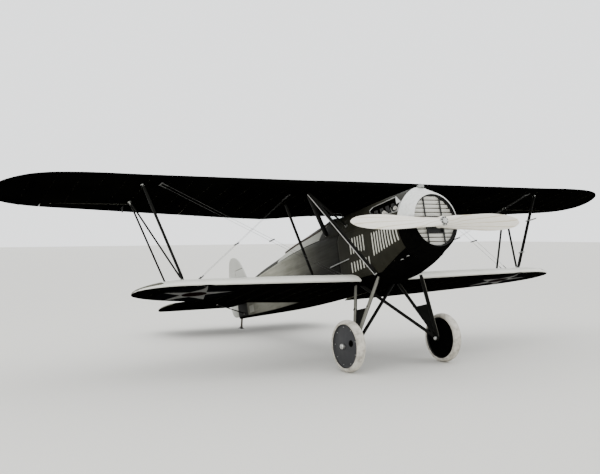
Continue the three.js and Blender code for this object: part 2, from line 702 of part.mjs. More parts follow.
const RISE = 0.019;
const lowerBase = (x) => (y) => 921 - 0.006 * (y - 150) + RISE * (x - 440);
const LOWER = [
  { x: 300, le: 150, te: 1770, thick: 205 },
  { x: 1600, le: 148, te: 1565, thick: 190 },
  { x: 2900, le: 145, te: 1250, thick: 158 },
  { x: 3300, le: 152, te: 1120, thick: 145 },
  { x: 3560, le: 200, te: 985, thick: 115 },
  { x: 3730, le: 275, te: 860, thick: 80 },
  { x: 3840, le: 380, te: 730, thick: 46 },
  { x: LOWER_HALF_SPAN, le: 490, te: 610, thick: 20 },
].map((s) => ({ ...s, base: lowerBase(s.x) }));
const lowerLeft = seat(loft(LOWER.map(wingRing)), hulls);
put("lower_wing_left", lowerLeft, OLIVE);
put("lower_wing_right", mirror(lowerLeft), OLIVE);

// Interplane N of struts and the cabane, each piece cut to the surface that it stands on
const UPPER_FRONT = [3742, 246, 2493];
const UPPER_REAR = [3692, 1008, 2431];
const LOWER_FRONT = [3162, 426, 1060];
const LOWER_REAR = [3162, 1010, 980];
const nStrut = seat(
  join(
    bar(UPPER_FRONT, LOWER_FRONT, 92, 38),
    bar(UPPER_REAR, LOWER_REAR, 76, 32),
    bar(UPPER_REAR, LOWER_FRONT, 60, 28),
  ),
  [upperFull, lowerLeft],
);
put("n_strut_left", nStrut, STEEL);
put("n_strut_right", mirror(nStrut), STEEL);

const CABANE_TOP = [1098, 300, 2415];
const cabane = seat(
  join(
    bar(CABANE_TOP, [415, -262, 1010], 78, 36),
    bar(CABANE_TOP, [330, 491, 1915], 46, 22),
    bar(CABANE_TOP, [330, 1106, 1880], 96, 40),
  ),
  [upperFull, ...hulls, ...cowlSides],
);
put("cabane_tripod_left", cabane, STEEL);
put("cabane_tripod_right", mirror(cabane), STEEL);
const cabaneRearBar = bar([1168, 917, 2405], [400, 1450, 1010], 66, 30);
const cabaneRear = seat(cabaneRearBar, [upperFull, ...hulls, lowerLeft]);
put("cabane_rear_left", cabaneRear, STEEL);
put("cabane_rear_right", mirror(cabaneRear), STEEL);

// Main stays: doubled flying wires with their spreader
const STAY = { chord: 11, thick: 6, apart: 46, spreader: 0.42 };
function stays(from, to) {
  const shift = (p, s) => [p[0], p[1] + s * STAY.apart, p[2]];
  const pair = [-0.5, 0.5].map((s) => bar(shift(from, s), shift(to, s), STAY.chord, STAY.thick, 6));
  const mid = V(from).lerp(V(to), STAY.spreader).toArray();
  return join(pair, bar(shift(mid, -0.9), shift(mid, 0.9), 14, 14, 6));
}
const flyingPair = stays([3570, 183, 2477], [500, 430, 1070]);
const flying = seat(flyingPair, [upperFull, lowerLeft, ...hulls, nStrut, cabane]);
put("flying_stays_left", flying, STEEL);
put("flying_stays_right", mirror(flying), STEEL);

// Undercarriage: a faired V on each side with its stub axle, and crossed half axles
const HUB_IN = 800;
const HUB_OUT = 968;
const LEG_TOP = { front: [395, -290, 960], rear: [395, 330, 960] };
const AXLE_R = 24;
const AXLE_APART = 70;
const FAIRED = 0.45;
const STUB = [
  [0, HUB_IN - 52],
  [44, HUB_IN - 52],
  [44, HUB_IN - JOINT_GAP],
  [AXLE_R, HUB_IN - JOINT_GAP],
  [AXLE_R, HUB_OUT - 1],
  [40, HUB_OUT - 1],
  [40, HUB_OUT + 8],
  [34, HUB_OUT + 20],
  [20, HUB_OUT + 27],
  [0, HUB_OUT + 28],
];
function gear(side) {
  const foot = [HUB_IN - 16, 0, 0];
  const legs = [LEG_TOP.front, LEG_TOP.rear].map((top) => V(top).lerp(V(foot), FAIRED));
  const corner = [legs[0], legs[1], V([foot[0], 22, 0]), V([foot[0], -22, 0])];
  const ring = (out) => corner.map((p) => [p.x + out, p.y, p.z + out * 0.4]);
  const fairing = loft([ring(-7), ring(7)]);
  const tops = join(bar(LEG_TOP.front, foot, 84, 40), bar(LEG_TOP.rear, foot, 74, 36), fairing);
  const inner = [HUB_IN - 40, (side * AXLE_APART) / 4, 10];
  const halfAxle = bar(inner, [-330, 330 + (side * AXLE_APART) / 2, 960], 54, 34);
  const whole = join(tops, halfAxle, turned(STUB, [0, 0, 0], "x", 20));
  const left = seat(whole, [...hulls, lowerLeft, mirror(lowerLeft)]);
  return side > 0 ? left : mirror(left);
}
put("gear_left", gear(1), STEEL);
put("gear_right", gear(-1), STEEL);

// Wheels: a disc with its hub and rim, and a tyre on it; the lowest facet corner points at the ground
const RIM_R = 306;
const discProfile = [
  [AXLE_R + GAP, 2], [46, 2], [50, 24], [RIM_R - 22, 50], [RIM_R, 44],
  [RIM_R, 126], [RIM_R - 22, 120], [56, 150], [46, 162], [AXLE_R + GAP, 162], [AXLE_R + GAP, 2],
];
const TYRE = { deep: 44, half: 65, middle: 85, steps: 8 };
const tyreProfile = Array.from({ length: TYRE.steps + 1 }, (_, i) => {
  const a = Math.PI + (2 * Math.PI * i) / TYRE.steps;
  return [WHEEL_R - TYRE.deep + TYRE.deep * Math.cos(a), TYRE.middle + TYRE.half * Math.sin(a)];
});
const WHEEL_SIDES = 36;
const AXLE = [0, 0, 0];
const onAxle = (shape) => shape.rotate([PARK_PITCH, 0, 0]).translate([HUB_IN, 0, 0]);
const tyreRing = turned(tyreProfile, AXLE, "x", WHEEL_SIDES);
const tyre = onAxle(biggest(tyreRing.subtract(cylinder(RIM_R + GAP, -60, 240, AXLE, "x", WHEEL_SIDES))));
const wheel = onAxle(turned(discProfile, AXLE, "x", WHEEL_SIDES));
put("wheel_left", wheel, DARK);
put("wheel_right", mirror(wheel), DARK);
put("tyre_left", tyre, RUBBER);
put("tyre_right", mirror(tyre), RUBBER);

// Tail: skid, fin and rudder, stabiliser and elevator
function fromGround(shape) {
  return shape.translate([0, 0, -WHEEL_R]).rotate([PARK_PITCH, 0, 0]);
}
const SKID_Y = 5510;
const skidRing = (y, z) => [[-20, y - 26, z], [20, y - 26, z], [20, y + 26, z], [-20, y + 26, z]];
const skidLeg = loft([skidRing(SKID_Y, 10), skidRing(SKID_Y - 34, 290)]);
const skidShoe = box(-38, 38, SKID_Y - 60, SKID_Y + 90, 0, 26);
put("tail_skid", seat(fromGround(join(skidShoe, skidLeg)), hulls), STEEL);

// A flat surface of even thickness with rounded edges, drawn as a plan outline
function plate(outline, thick, place) {
  const cx = outline.reduce((s, p) => s + p[0], 0) / outline.length;
  const cy = outline.reduce((s, p) => s + p[1], 0) / outline.length;
  const draw = (inset, h) =>
    outline.map(([a, b]) => {
      const d = Math.hypot(a - cx, b - cy);
      return place(a - ((a - cx) / d) * inset, b - ((b - cy) / d) * inset, h);
    });
  return loft([draw(12, -thick / 2), draw(2, -thick / 5), draw(2, thick / 5), draw(12, thick / 2)]);
}
const TAIL_THICK = 40;
const STAB_Z = 1317;
const STAB_HINGE_Y = 5170;
const tailPlan = [
  [20, 4320], [420, 4335], [900, 4345], [1300, 4370], [1600, 4440], [1760, 4550], [1840, 4720],
  [TAIL_HALF_SPAN, 4950], [TAIL_HALF_SPAN - 10, 5200], [1820, 5400], [1770, 5600], [1710, 5700],
  [1500, 5715], [900, 5690], [150, 5640], [95, 5500], [70, STAB_HINGE_Y], [20, STAB_HINGE_Y],
];
const onTail = (a, b, h) => [a, b, STAB_Z + h];
const tailSurface = plate(tailPlan, TAIL_THICK, onTail);
const ELEVATOR = { x0: 110, x1: TAIL_HALF_SPAN - 26 };
const HINGE_R = TAIL_THICK / 2 - 1;
const elevatorAxis = [ELEVATOR.x0, ELEVATOR.x1].map((x) => ({ x, y: STAB_HINGE_Y, z: STAB_Z, r: HINGE_R }));
const FAR = { x: 2000, y: 6000 };
const aftOfHinge = (x) => box(x, FAR.x, STAB_HINGE_Y, FAR.y, STAB_Z - 200, STAB_Z + 200);
const wholeAxis = [{ ...elevatorAxis[0], x: -50 }, { ...elevatorAxis[1], x: FAR.x }];
const tailCut = roller(wholeAxis, JOINT_GAP).add(aftOfHinge(-50));
let stabiliser = tailSurface.subtract(tailCut);
let elevator = tailSurface
  .intersect(aftOfHinge(ELEVATOR.x0))
  .add(roller(elevatorAxis, -0.5));
for (const t of LUG_AT) {
  const p = along(elevatorAxis, t);
  elevator = elevator.subtract(slot(p, p.r + 4));
  stabiliser = stabiliser.add(lug(p, p.r + JOINT_GAP + 6));
}
stabiliser = seat(stabiliser, hulls);
put("stabiliser_left", stabiliser, OLIVE);
put("stabiliser_right", mirror(stabiliser), OLIVE);
put("elevator_left", biggest(elevator), OLIVE);
put("elevator_right", mirror(biggest(elevator)), OLIVE);

const RUDDER_HINGE_Y = 5462;
const onFin = (a, b, h) => [h, a, b];
const BALANCE_Z = 2070;
const finPlan = [
  [4800, 1600], [4880, 1720], [4960, 1850], [5040, 1970], [5100, BALANCE_Z - JOINT_GAP],
  [RUDDER_HINGE_Y, BALANCE_Z - JOINT_GAP], [RUDDER_HINGE_Y, 1080], [5370, 1060], [5300, 1400],
];
const rudderPlan = [
  [RUDDER_HINGE_Y, 1075], [5560, 1068], [5700, 1090], [5800, 1180], [5850, 1340], [5862, 1560],
  [5845, 1800], [5815, 2000], [5775, 2190], [5725, 2310], [5640, 2368], [5540, 2372],
  [5430, 2345], [5320, 2285], [5210, 2195], [5120, BALANCE_Z + JOINT_GAP], [5128, BALANCE_Z + 2],
  [RUDDER_HINGE_Y, BALANCE_Z],
];
function post(extra, z0, z1) {
  return cylinder(HINGE_R + extra, z0, z1, [0, RUDDER_HINGE_Y, 0], "z", 12);
}
let fin = plate(finPlan, TAIL_THICK, onFin);
const rudderSheet = plate(rudderPlan, TAIL_THICK, onFin);
let rudder = rudderSheet
  .intersect(box(-50, 50, RUDDER_HINGE_Y, FAR.y, 0, TALL).add(box(-50, 50, 5000, FAR.y, BALANCE_Z + 2, TALL)))
  .add(post(-0.5, 1092, BALANCE_Z + 20));
fin = fin.subtract(post(JOINT_GAP, 0, TALL)).subtract(box(-50, 50, RUDDER_HINGE_Y, FAR.y, 0, TALL));
for (const z of [1160, 1560, 1980]) {
  const at = [0, RUDDER_HINGE_Y, z];
  const root = RUDDER_HINGE_Y - HINGE_R - JOINT_GAP - 6;
  rudder = rudder
    .subtract(box(-60, 60, RUDDER_HINGE_Y - 60, RUDDER_HINGE_Y + 16, z - SLOT_W / 2, z + SLOT_W / 2))
    .subtract(cylinder(BORE_R, -PIN_HALF - 0.5, PIN_HALF + 0.5, at, "z", PIN_SIDES));
  fin = join(
    fin,
    box(-6, 6, root, RUDDER_HINGE_Y, z - LUG_W / 2, z + LUG_W / 2),
    cylinder(8, -LUG_W / 2, LUG_W / 2, at, "z", PIN_SIDES),
    cylinder(PIN_R, -PIN_HALF, PIN_HALF, at, "z", PIN_SIDES),
  );
}
put("fin", seat(fin, hulls), OLIVE);
put("rudder", biggest(rudder), OLIVE);
const tailBrace = seat(bar([760, 4900, STAB_Z - 12], [30, 5080, 1080], 40, 20), [...hulls, stabiliser]);
put("tail_brace_left", tailBrace, STEEL);
put("tail_brace_right", mirror(tailBrace), STEEL);

// Windscreen ahead of the cockpit
const screen = seat(
  loft([
    [[-200, 1180, 1990], [200, 1180, 1990], [200, 1194, 1990], [-200, 1194, 1990]],
    [[-110, 1262, 2320], [110, 1262, 2320], [110, 1276, 2320], [-110, 1276, 2320]],
  ]),
  hulls,
);
put("windscreen", screen, PALE);

aircraft.updateMatrixWorld(true);
export default aircraft;
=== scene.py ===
import math

import bmesh
import bpy
from mathutils import Matrix, Vector


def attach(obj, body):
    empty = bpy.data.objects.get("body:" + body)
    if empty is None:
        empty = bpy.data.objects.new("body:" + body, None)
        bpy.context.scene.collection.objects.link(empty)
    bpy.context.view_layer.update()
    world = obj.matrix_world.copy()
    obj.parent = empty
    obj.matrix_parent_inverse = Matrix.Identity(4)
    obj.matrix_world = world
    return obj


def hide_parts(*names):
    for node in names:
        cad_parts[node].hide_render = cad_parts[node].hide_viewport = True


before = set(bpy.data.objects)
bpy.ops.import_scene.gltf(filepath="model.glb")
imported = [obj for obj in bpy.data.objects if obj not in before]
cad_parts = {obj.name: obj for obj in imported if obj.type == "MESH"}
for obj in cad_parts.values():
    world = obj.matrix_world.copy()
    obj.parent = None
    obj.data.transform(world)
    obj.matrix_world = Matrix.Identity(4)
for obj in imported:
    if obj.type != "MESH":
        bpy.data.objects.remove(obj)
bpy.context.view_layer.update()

scene = bpy.context.scene


# The floor is plain pale card, and the light is that of a bright overcast sky:
# one wide soft box overhead, a second one low in front of the starboard side.
# The camera stands to starboard of the nose at eye height and looks just below level.
def linear(colour):
    """An sRGB hex colour as linear red, green, blue and alpha."""
    parts = [int(colour[i : i + 2], 16) / 255 for i in (1, 3, 5)]
    return [c / 12.92 if c <= 0.04045 else ((c + 0.055) / 1.055) ** 2.4 for c in parts] + [1.0]


def add(tree, kind, settings=(), links=()):
    """A node with its settings, and links given as input name to output socket."""
    made = tree.nodes.new(kind)
    for key, value in dict(settings).items():
        if isinstance(key, str) and hasattr(made, key):
            setattr(made, key, value)
        else:
            made.inputs[key].default_value = value
    for key, source in dict(links).items():
        tree.links.new(source, made.inputs[key])
    return made


def finish(name):
    """An empty material, its nodes cleared, and the tree to fill."""
    material = bpy.data.materials.new(name)
    material.use_nodes = True
    material.node_tree.nodes.clear()
    return material, material.node_tree


def ramp(tree, fac, stops):
    """A colour ramp through pairs of position and colour."""
    made = add(tree, "ShaderNodeValToRGB", links={"Fac": fac})
    elements = made.color_ramp.elements
    while len(elements) < len(stops):
        elements.new(0.5)
    for element, (position, colour) in zip(elements, stops):
        element.position = position
        element.color = linear(colour)
    return made.outputs["Color"]


def shade(tree, settings, links=()):
    """Closes a material: a principled shader with its settings and links, joined to the output."""
    surface = add(tree, "ShaderNodeBsdfPrincipled", settings, links)
    add(tree, "ShaderNodeOutputMaterial", links={"Surface": surface.outputs["BSDF"]})


card, tree = finish("matt_pale_card")
grain = add(tree, "ShaderNodeTexNoise", {"Scale": 0.7, "Detail": 3.0})
tone = ramp(tree, grain.outputs["Fac"], [(0.3, "#d2d0ca"), (0.7, "#d9d7d1")])
shade(tree, {"Roughness": 0.95}, {"Base Color": tone})

bm = bmesh.new()
bmesh.ops.create_grid(bm, x_segments=8, y_segments=8, size=120)
mesh = bpy.data.meshes.new("floor")
bm.to_mesh(mesh)
bm.free()
mesh.materials.append(card)
floor = bpy.data.objects.new("floor", mesh)
scene.collection.objects.link(floor)

world = bpy.data.worlds.new("overcast_sky")
world.use_nodes = True
sky = world.node_tree.nodes["Background"].inputs
sky["Color"].default_value = linear("#e9ebec")
sky["Strength"].default_value = 2.4
scene.world = world

SOFT_BOXES = [
    {"name": "overhead", "at": (-1.5, -3.0, 11.0), "to": (0, 0, 1), "size": 11.0, "watts": 240.0},
    {"name": "front", "at": (-9.5, -9.0, 5.0), "to": (0, -1, 1.2), "size": 5.0, "watts": 100.0},
]
for box in SOFT_BOXES:
    lamp = bpy.data.lights.new(box["name"], "AREA")
    lamp.energy = box["watts"]
    lamp.size = box["size"]
    holder = bpy.data.objects.new(box["name"], lamp)
    scene.collection.objects.link(holder)
    aim = Vector(box["to"]) - Vector(box["at"])
    holder.location = box["at"]
    holder.rotation_euler = aim.to_track_quat("-Z", "Y").to_euler()

YAW, TILT, ROLL = math.radians(29.722), math.radians(-0.271), math.radians(-0.267)
EYE = (-7.059, -11.892, 2.030)
# the lens is as long as 768.9 px of a photo 600 px wide
SENSOR, FOCAL_SHARE = 36.0, 768.9 / 600.0
lens = bpy.data.cameras.new("camera")
lens.sensor_width = SENSOR
lens.lens = SENSOR * FOCAL_SHARE
lens.clip_end = 400.0
camera = bpy.data.objects.new("camera", lens)
scene.collection.objects.link(camera)
turn_to = Matrix.Rotation(-YAW, 4, "Z") @ Matrix.Rotation(math.pi / 2 + TILT, 4, "X")
turn_to = turn_to @ Matrix.Rotation(ROLL, 4, "Z")
camera.matrix_world = Matrix.Translation(EYE) @ turn_to
scene.camera = camera


# The nose cowl is a beaten aluminium ring with a rolled lip round the radiator opening.
# Its upper half, round the header tank, is drawn pale and glossier as painted light from above; the lower
# half is drawn near black as painted shade.
# A filler with a hinged lid stands on top, and a bead covers the joint behind the lip.
PITCH = math.radians(12.5)
AXLE_AT = Vector((0, -2.4912, 0.381))
PARKED = Matrix.Translation(AXLE_AT) @ Matrix.Rotation(-PITCH, 4, "X") @ Matrix.Scale(0.001, 4)
LEVEL = Matrix.Rotation(PITCH, 4, "X") @ Matrix.Translation(-AXLE_AT)


def level_place(tree, scale=(1, 1, 1)):
    """Object coordinates turned to the level airframe, in metres, then stretched by the scale."""
    place = add(tree, "ShaderNodeTexCoord").outputs["Object"]
    settings = {"Location": LEVEL.translation, "Rotation": LEVEL.to_euler()}
    level = add(tree, "ShaderNodeMapping", settings, {"Vector": place})
    stretched = add(tree, "ShaderNodeMapping", {"Scale": scale}, {"Vector": level.outputs["Vector"]})
    return stretched.outputs["Vector"]


def bumps(tree, height, strength, distance, over=None):
    """A bump node's normal from a height, with its depth in metres, over another normal or none."""
    links = {"Height": height, "Normal": over} if over else {"Height": height}
    return add(tree, "ShaderNodeBump", {"Strength": strength, "Distance": distance}, links).outputs["Normal"]


def noise(tree, scale, detail, place=None):
    """The value of a noise of this scale and detail, on the level airframe's metres or at a place."""
    place = place or level_place(tree)
    drawn = add(tree, "ShaderNodeTexNoise", {"Scale": scale, "Detail": detail}, {"Vector": place})
    return drawn.outputs["Fac"]


def share_of(tree, value, low, high):
    """How far a value has come on its way from low to high."""
    ends = {"From Min": low, "From Max": high}
    return add(tree, "ShaderNodeMapRange", ends, {"Value": value}).outputs["Result"]


def level_axis(tree, axis):
    """One coordinate of the level airframe, in metres."""
    return add(tree, "ShaderNodeSeparateXYZ", links={"Vector": level_place(tree)}).outputs[axis]


def mottled(name, pattern, stops, settings, bump, stretch=(1, 1, 1)):
    """A finish drawn with one noise of a scale and detail: its tints and a bump of strength and depth."""
    material, tree = finish(name)
    grain = noise(tree, *pattern, level_place(tree, stretch))
    shade(tree, settings, {"Base Color": ramp(tree, grain, stops), "Normal": bumps(tree, grain, *bump)})
    return material


def put(bm, name, materials, body, slot, nodes=(), sharp=32):
    """A piece drawn in the level airframe's millimetres, set in place on the parked aircraft."""
    bmesh.ops.transform(bm, matrix=PARKED, verts=bm.verts)
    mesh = bpy.data.meshes.new(name)
    bm.to_mesh(mesh)
    bm.free()
    mesh.polygons.foreach_set("use_smooth", [True] * len(mesh.polygons))
    mesh.set_sharp_from_angle(angle=math.radians(sharp))
    for material in materials:
        mesh.materials.append(material)
    piece = bpy.data.objects.new(name, mesh)
    scene.collection.objects.link(piece)
    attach(piece, body)
    if nodes:
        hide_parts(*nodes)
    return piece


def smooth_row(rows, x):
    """The row at x on smooth curves through the rows of a table whose first column is x."""
    i = next((k for k in range(1, len(rows) - 1) if rows[k][0] >= x), len(rows) - 1)
    a, b = rows[i - 1], rows[i]
    before, after = rows[max(0, i - 2)], rows[min(len(rows) - 1, i + 1)]
    wide = b[0] - a[0]
    t = min(1.0, max(0.0, (x - a[0]) / wide))
    row = [x]
    for k in range(1, len(a)):
        rise_a = (b[k] - before[k]) / (b[0] - before[0]) * wide
        rise_b = (after[k] - a[k]) / (after[0] - a[0]) * wide
        h = (2 * t**3 - 3 * t**2 + 1) * a[k] + (t**3 - 2 * t**2 + t) * rise_a
        row.append(h + (3 * t**2 - 2 * t**3) * b[k] + (t**3 - t**2) * rise_b)
    return row


# place along the fuselage, half width, height of the widest line, rise and its power, drop and its power
HULL = [
    (-1290, 386, 1590, 386, 2, 386, 2),
    (-1272, 408, 1590, 408, 2, 408, 2),
    (-1230, 430, 1590, 432, 2, 436, 2),
    (-1150, 450, 1592, 476, 1.9, 472, 2),
    (-1020, 466, 1600, 545, 1.7, 536, 2.1),
    (-820, 468, 1610, 558, 1.5, 600, 2.6),
    (-560, 455, 1620, 556, 1.4, 660, 3.4),
    (-290, 442, 1635, 553, 1.35, 700, 5),
    (200, 438, 1655, 540, 1.35, 735, 8),
    (760, 435, 1670, 528, 1.4, 757, 10),
    (1500, 430, 1690, 500, 1.5, 785, 10),
    (2300, 395, 1690, 400, 1.7, 788, 10),
    (3100, 325, 1680, 265, 1.8, 765, 10),
    (3900, 232, 1650, 215, 1.7, 702, 8),
    (4700, 135, 1610, 130, 1.7, 622, 6),
    (5430, 44, 1570, 60, 1.8, 545, 5),
]


def hull_point(y, turn, inset=0.0):
    """A point of the fuselage skin; turn runs from 0 at the port side, 0.25 at the top, 0.5 to starboard."""
    _, wide, middle, rise, rise_power, drop, drop_power = smooth_row(HULL, y)
    c, s = math.cos(2 * math.pi * turn), math.sin(2 * math.pi * turn)
    tall, power = (rise, rise_power) if s >= 0 else (drop, drop_power)
    x = (wide - inset) * math.copysign(abs(c) ** (2 / power), c)
    return Vector((x, y, middle + (tall - inset) * math.copysign(abs(s) ** (2 / power), s)))


def turn_at(y, z):
    """The turn, on the port side, at which the fuselage skin has this height."""
    _, _, middle, rise, rise_power, drop, drop_power = smooth_row(HULL, y)
    tall, power = (rise, rise_power) if z >= middle else (drop, drop_power)
    share = min(1.0, abs(z - middle) / tall) ** (power / 2)
    return math.copysign(math.asin(share), z - middle) / (2 * math.pi)


def loft(stations, place, around=48, caps=True):
    """A skin pulled through stations: a circle of points, extruded once for each further station."""
    bm = bmesh.new()
    turn = bm.verts.layers.float.new("turn")
    ring = bmesh.ops.create_circle(bm, segments=around, radius=1)["verts"]
    for i, v in enumerate(ring):
        v[turn] = i / around
    edges = bm.edges[:]
    for n, station in enumerate(stations):
        if n:
            made = bmesh.ops.extrude_edge_only(bm, edges=edges)["geom"]
            ring = [g for g in made if isinstance(g, bmesh.types.BMVert)]
            edges = [g for g in made if isinstance(g, bmesh.types.BMEdge) and g.is_boundary]
        elif caps:
            bmesh.ops.contextual_create(bm, geom=edges)
        for v in ring:
            v.co = place(station, v[turn])
    if caps:
        bmesh.ops.contextual_create(bm, geom=edges)
        bmesh.ops.recalc_face_normals(bm, faces=bm.faces)
    return bm


def bridge(bm):
    """Closes a skin on itself, from its last ring to its first."""
    bmesh.ops.bridge_loops(bm, edges=[e for e in bm.edges if e.is_boundary])
    bmesh.ops.recalc_face_normals(bm, faces=bm.faces)


lit_and_shaded_sheet, tree = finish("beaten_aluminium_with_painted_light_above_and_shade_below")
place = level_place(tree)
height = level_axis(tree, "Z")
ragged = noise(tree, 5.0, 3.0, place)
wander = add(tree, "ShaderNodeMath", {"operation": "MULTIPLY_ADD", 1: 0.08}, {0: ragged, 2: height})
# by height the ring turns from near black below, as painted shade, to pale and glossier above, as painted
# light
share = share_of(tree, wander.outputs["Value"], 1.60, 1.72)
beaten = noise(tree, 22.0, 4.0, place)
pale = ramp(tree, beaten, [(0.3, "#c9cac6"), (0.7, "#dddeda")])
dark = ramp(tree, beaten, [(0.3, "#040404"), (0.7, "#080807")])
mixed = add(tree, "ShaderNodeMixRGB", links={"Fac": share, "Color1": dark, "Color2": pale}).outputs["Color"]
gleam = add(tree, "ShaderNodeMath", {"operation": "MULTIPLY", 1: 0.3}, {0: share}).outputs["Value"]
shade(
    tree,
    {"Roughness": 0.42},
    {"Base Color": mixed, "Specular IOR Level": gleam, "Normal": bumps(tree, beaten, 0.25, 0.004)},
)

NOSE_Z = 1590.0
# each row is a place along the nose, an inset from the skin, or a radius where the skin ends
NOSE_YS = (-1001, -1060, -1110, -1150, -1180, -1210, -1235, -1255, -1272, -1283, -1290)
NOSE_PATH = [(y, 0.0, None) for y in NOSE_YS]
NOSE_PATH += [(-1290, 0.0, r) for r in (383, 379.5)]
NOSE_PATH += [(-1286, 0.0, 377), (-1279, 0.0, 374.5), (-1270, 0.0, 375), (-1263, 0.0, 381)]
NOSE_PATH += [(-1258, 26.0, None), (-1230, 17.0, None), (-1150, 14.0, None), (-1001, 14.0, None)]


def nose_place(row, turn):
    """A point of the nose: on the fuselage skin, or on a circle in front."""
    y, inset, radius = row
    if radius is None:
        return hull_point(y, turn, inset)
    a = 2 * math.pi * turn
    return Vector((radius * math.cos(a), y, NOSE_Z + radius * math.sin(a)))


nose_skin = loft(NOSE_PATH, nose_place, 96, caps=False)
bridge(nose_skin)

bare_bead = mottled(
    "rolled_aluminium_bead", (60.0, 3.0), [(0.35, "#7a7b78"), (0.65, "#a0a19d")],
    {"Metallic": 0.8, "Roughness": 0.4}, (0.2, 0.001),
)

bead = [(-1165, 0.0), (-1163, -2.0), (-1160, -3.0), (-1157, -2.0), (-1155, 0.0)]
bm = loft(bead, lambda row, turn: hull_point(row[0], turn, row[1]), 96, caps=False)
bridge(bm)
put(bm, "nose_bead", [lit_and_shaded_sheet], "airframe", "aluminium_plain")


def turned(profile, at, axis="y", steps=48):
    """A round piece spun from pairs of radius and distance along the axis through a point."""
    bm = bmesh.new()
    last = None
    for r, h in profile:
        v = bm.verts.new((r, 0, h))
        if last:
            bm.edges.new((last, v))
        last = v
    spun = {"axis": (0, 0, 1), "cent": (0, 0, 0), "angle": 2 * math.pi, "steps": steps, "use_merge": True}
    bmesh.ops.spin(bm, geom=bm.verts[:] + bm.edges[:], **spun)
    bmesh.ops.remove_doubles(bm, verts=bm.verts, dist=0.01)
    bmesh.ops.recalc_face_normals(bm, faces=bm.faces)
    quarter = math.pi / 2
    facing = {"x": Matrix.Rotation(quarter, 4, "Y"), "y": Matrix.Rotation(-quarter, 4, "X"), "z": Matrix()}
    bmesh.ops.transform(bm, matrix=Matrix.Translation(at) @ facing[axis], verts=bm.verts)
    return bm


def join(*parts):
    """One bmesh that holds all the given ones."""
    whole = parts[0]
    for part in parts[1:]:
        carried = bpy.data.meshes.new("carried")
        part.to_mesh(carried)
        part.free()
        whole.from_mesh(carried)
        bpy.data.meshes.remove(carried)
    return whole


def block(x, y, z, bevel=2.0):
    """A box between limits on each axis with its edges eased."""
    bm = bmesh.new()
    bmesh.ops.create_cube(bm, size=1)
    size = Matrix.Diagonal((x[1] - x[0], y[1] - y[0], z[1] - z[0], 1))
    middle = Matrix.Translation(((x[0] + x[1]) / 2, (y[0] + y[1]) / 2, (z[0] + z[1]) / 2))
    bmesh.ops.transform(bm, matrix=middle @ size, verts=bm.verts)
    eased = {"affect": "EDGES", "segments": 2, "profile": 0.5, "material": -1}
    bmesh.ops.bevel(bm, geom=bm.edges[:], offset=bevel, **eased)
    return bm


CAP_AT = (0, -1060, 2145)
cap_neck = turned([(0, -26), (50, -26), (50, 4), (54, 8), (54, 12), (40, 22), (20, 27), (0, 28)], CAP_AT, "z")
cap_knob = turned([(0, 24), (12, 24), (14, 34), (10, 40), (0, 41)], CAP_AT, "z", 24)
cap_hinge = block((-14, 14), (-1014, -992), (2136, 2160))
put(join(cap_neck, cap_knob, cap_hinge), "filler_cap", [bare_bead], "airframe", "aluminium_plain")


# The radiator is a round brass honeycomb behind a row of tinned shutters.
# The shutters are flat slats on two dark upright bars, cut out in a box round the shaft.
# Twelve slats pivot in the frame, each slightly open with its lower edge forward.
honeycomb, tree = finish("blackened_brass_honeycomb")
place = level_place(tree)
cells = add(tree, "ShaderNodeTexVoronoi", {"Scale": 110.0, "Randomness": 0.25}, {"Vector": place})
tone = ramp(tree, cells.outputs["Distance"], [(0.25, "#0b0a08"), (0.55, "#3a3427")])
shade(
    tree,
    {"Roughness": 0.6, "Metallic": 0.3},
    {"Base Color": tone, "Normal": bumps(tree, cells.outputs["Distance"], 0.6, 0.004)},
)

core_path = [(110, 0), (392, 0), (398, 6), (398, 96), (392, 101), (110, 101), (110, 0)]
core = turned(core_path, (0, -1221.7, NOSE_Z), "y", 64)
put(core, "radiator_honeycomb", [honeycomb], "airframe", "radiator_brass", ["radiator_core"])

tinned = mottled(
    "tinned_steel_slats", (14.0, 5.0), [(0.3, "#b9b8b0"), (0.7, "#d8d7cf")],
    {"Roughness": 0.5, "Metallic": 0.15}, (0.15, 0.002), (0.4, 1, 6),
)

black_iron_and_shade = mottled(
    "black_stove_enamel_on_iron_and_painted_shade", (90.0, 4.0), [(0.35, "#0d0d0d"), (0.7, "#1b1b1a")],
    {"Roughness": 0.5, "Specular IOR Level": 0.3}, (0.2, 0.001),
)

# faces that look inwards, into the ring behind the lip, are drawn black as painted shade
nose_skin.normal_update()
for f in nose_skin.faces:
    middle = f.calc_center_median() - Vector((0, 0, NOSE_Z))
    middle.y = 0
    if f.normal.dot(middle.normalized()) < -0.35:
        f.material_index = 1
put(nose_skin, "nose_cowl_skin", [lit_and_shaded_sheet, black_iron_and_shade], "airframe", "paint_light", ["nose_cowl"])

SLATS, SLAT_TALL, SLAT_LEAN, STACK, SHUTTER_R, BAR_X = 12, 46.0, math.radians(20), 724.0, 384.0, 146.0
HUB_BOX = (-178.0, 42.0)
slats = []
for i in range(SLATS):
    z = -STACK / 2 + (i + 0.5) * STACK / SLATS
    reach = math.sqrt(SHUTTER_R**2 - z**2) - 4
    cut = HUB_BOX[0] - 16 < z < HUB_BOX[1] + 16
    for x0, x1 in [(-reach, -BAR_X), (BAR_X, reach)] if cut else [(-reach, reach)]:
        slat = block((x0, x1), (-3, 3), (-SLAT_TALL / 2, SLAT_TALL / 2), 1.2)
        lean = Matrix.Translation((0, -1232, NOSE_Z + z)) @ Matrix.Rotation(SLAT_LEAN, 4, "X")
        bmesh.ops.transform(slat, matrix=lean, verts=slat.verts)
        slats.append(slat)
put(join(*slats), "shutter_slats", [tinned], "airframe", "aluminium_plain", ["radiator_shutters"])

